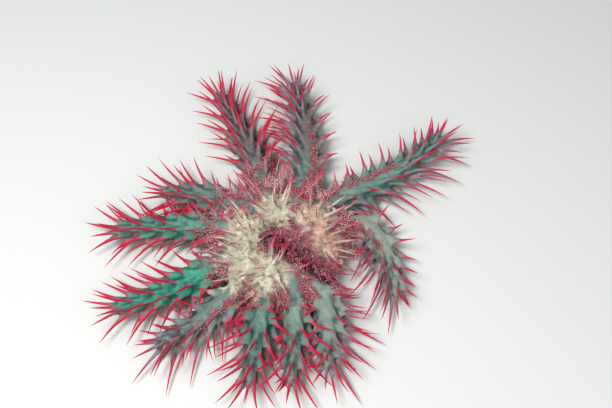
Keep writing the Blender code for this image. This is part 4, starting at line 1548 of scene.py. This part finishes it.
# How sunk the skin is, which its material uses to paint shade into the hollows
store(skin.data, "hollow", hollowness(skin.data))
store(skin.data, "fold", fold_marks(skin.data, folds))
foot_marks = markings_of(np.array([spine.foot for spine in spines]))
paleness = foot_marks["tan"] * (1 - 0.4 * foot_marks["rosy"])
# cleft: how far a spine's foot is in the cleft, where its colours are darkened by painted shade
own_colours = {"pale": np.maximum(0.25 * foot_marks["disc"], paleness), "cleft": foot_marks["sunk"]}
for label, numbers in sheath(skin.data, spines, own_colours).items():
    store(skin.data, label, numbers)
unwrap(skin)
join_model(skin, "disc_flesh", skin_material())
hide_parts(*(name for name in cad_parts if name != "mouth"))

skin_surface = BVHTree.FromPolygons(
    [vert.co for vert in skin.data.vertices], [face.vertices[:] for face in skin.data.polygons]
)
grow_stalks("spines", spine_stalks(spines), SPINE_PROFILE, 8, spine_material(), "spine", **own_colours)
under_spines = groove_spines() + mouth_spines() + underside_spines(skin_surface)
grow_stalks("groove_spines", under_spines, BLUNT_PROFILE, 6, furrow_spine_material(), "spine")
plates = add_object("sieve_plates", sieve_plates(skin_surface))
join_model(plates, "disc_flesh", plate_material())
lip = add_object("mouth_lip", mouth_mesh())
join_model(lip, "mouth_lip", lip_material())
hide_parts("mouth")
foot_finish = foot_material()
grow_stalks("tube_feet", tube_feet(), FOOT_PROFILE, 8, foot_finish, "tube_foot")
grow_stalks("tip_feelers", tip_tentacles(skin_surface), BLUNT_PROFILE, 10, foot_finish, "tube_foot")

gills_over_skin = gill_tree(stalk_tree("gill", GILL_PROFILE))
gill_values = {
    "Spacing": GILL_SPACING,
    "Reach": GILL_REACH,
    "Girth": GILL_GIRTH,
    "Sides": GILL_SIDES,
    "Seed": RANDOM_SEED,
    "Material": gill_material(),
}
skin_points = coordinates(skin.data)
skin_places = places_of(skin_points)
# The coat is in six pieces, so that none has too many faces
on_arms = skin_places.share > 0.02
left, near = skin_points[:, 0] < -2 * MM, skin_points[:, 1] < 0
gill_regions = {
    "gills_disc_near_left": ~on_arms & left & near,
    "gills_disc_near_right": ~on_arms & ~left & near,
    "gills_disc_far_left": ~on_arms & left & ~near,
    "gills_disc_far_right": ~on_arms & ~left & ~near,
    "gills_arms_1_to_6": on_arms & (skin_places.arm < 6),
    "gills_arms_7_to_11": on_arms & (skin_places.arm >= 6),
}
for name, inside in gill_regions.items():
    field = skin.data.copy()
    density = np.zeros(len(field.vertices), np.float32)
    field.attributes["gills"].data.foreach_get("value", density)
    field.attributes["gills"].data.foreach_set("value", density * inside)
    join_model(grown(name, field, gills_over_skin, gill_values), "gill")

# ---- Floor, light and camera ----------------------------------------------------------------------

AIM = Vector((20 * MM, 31 * MM, 15 * MM))
CAMERA_DISTANCE = 708 * MM
CAMERA_ELEVATION = math.radians(60)


def looking(obj, place, at):
    obj.location = place
    obj.rotation_euler = (at - place).to_track_quat("-Z", "Y").to_euler()


camera = add_object("camera", bpy.data.cameras.new("camera"))
camera.data.lens = 50
camera.data.sensor_width = 36
camera.data.clip_start = 10 * MM
back_off = Vector((0, -math.cos(CAMERA_ELEVATION), math.sin(CAMERA_ELEVATION))) * CAMERA_DISTANCE
looking(camera, AIM + back_off, AIM)
scene.camera = camera

# (name, place, width in metres, watts)
for name, place, size, power in (
    ("key", Vector((-0.4, -0.25, 1.1)), 0.4, 15),
    ("fill", Vector((0.8, -0.5, 0.8)), 0.9, 3.0),
    ("front", Vector((-0.1, -0.8, 0.9)), 0.9, 4.0),
):
    light = bpy.data.lights.new(name, "AREA")
    light.size = size
    light.energy = power
    looking(add_object(name, light), place, AIM)

WORLD_BRIGHTNESS = 0.3
scene.world = bpy.data.worlds.new("studio")
scene.world.use_nodes = True
background = scene.world.node_tree.nodes["Background"]
background.inputs["Color"].default_value = linear("#dfe6ea")
background.inputs["Strength"].default_value = WORLD_BRIGHTNESS
scene.view_settings.view_transform = "Standard"

FLOOR_HALF = 2.5
corners = [(x * FLOOR_HALF, y * FLOOR_HALF, 0) for x, y in ((-1, -1), (1, -1), (1, 1), (-1, 1))]
floor_mesh = bpy.data.meshes.new("floor")
floor_mesh.from_pydata(corners, [], [(0, 1, 2, 3)])
floor = add_object("floor", floor_mesh)
floor_finish, floor_tree = new_material("matt_painted_board")
finish(floor_tree, {"Base Color": "#cfd0ce", "Roughness": 0.85})
floor_mesh.materials.append(floor_finish)
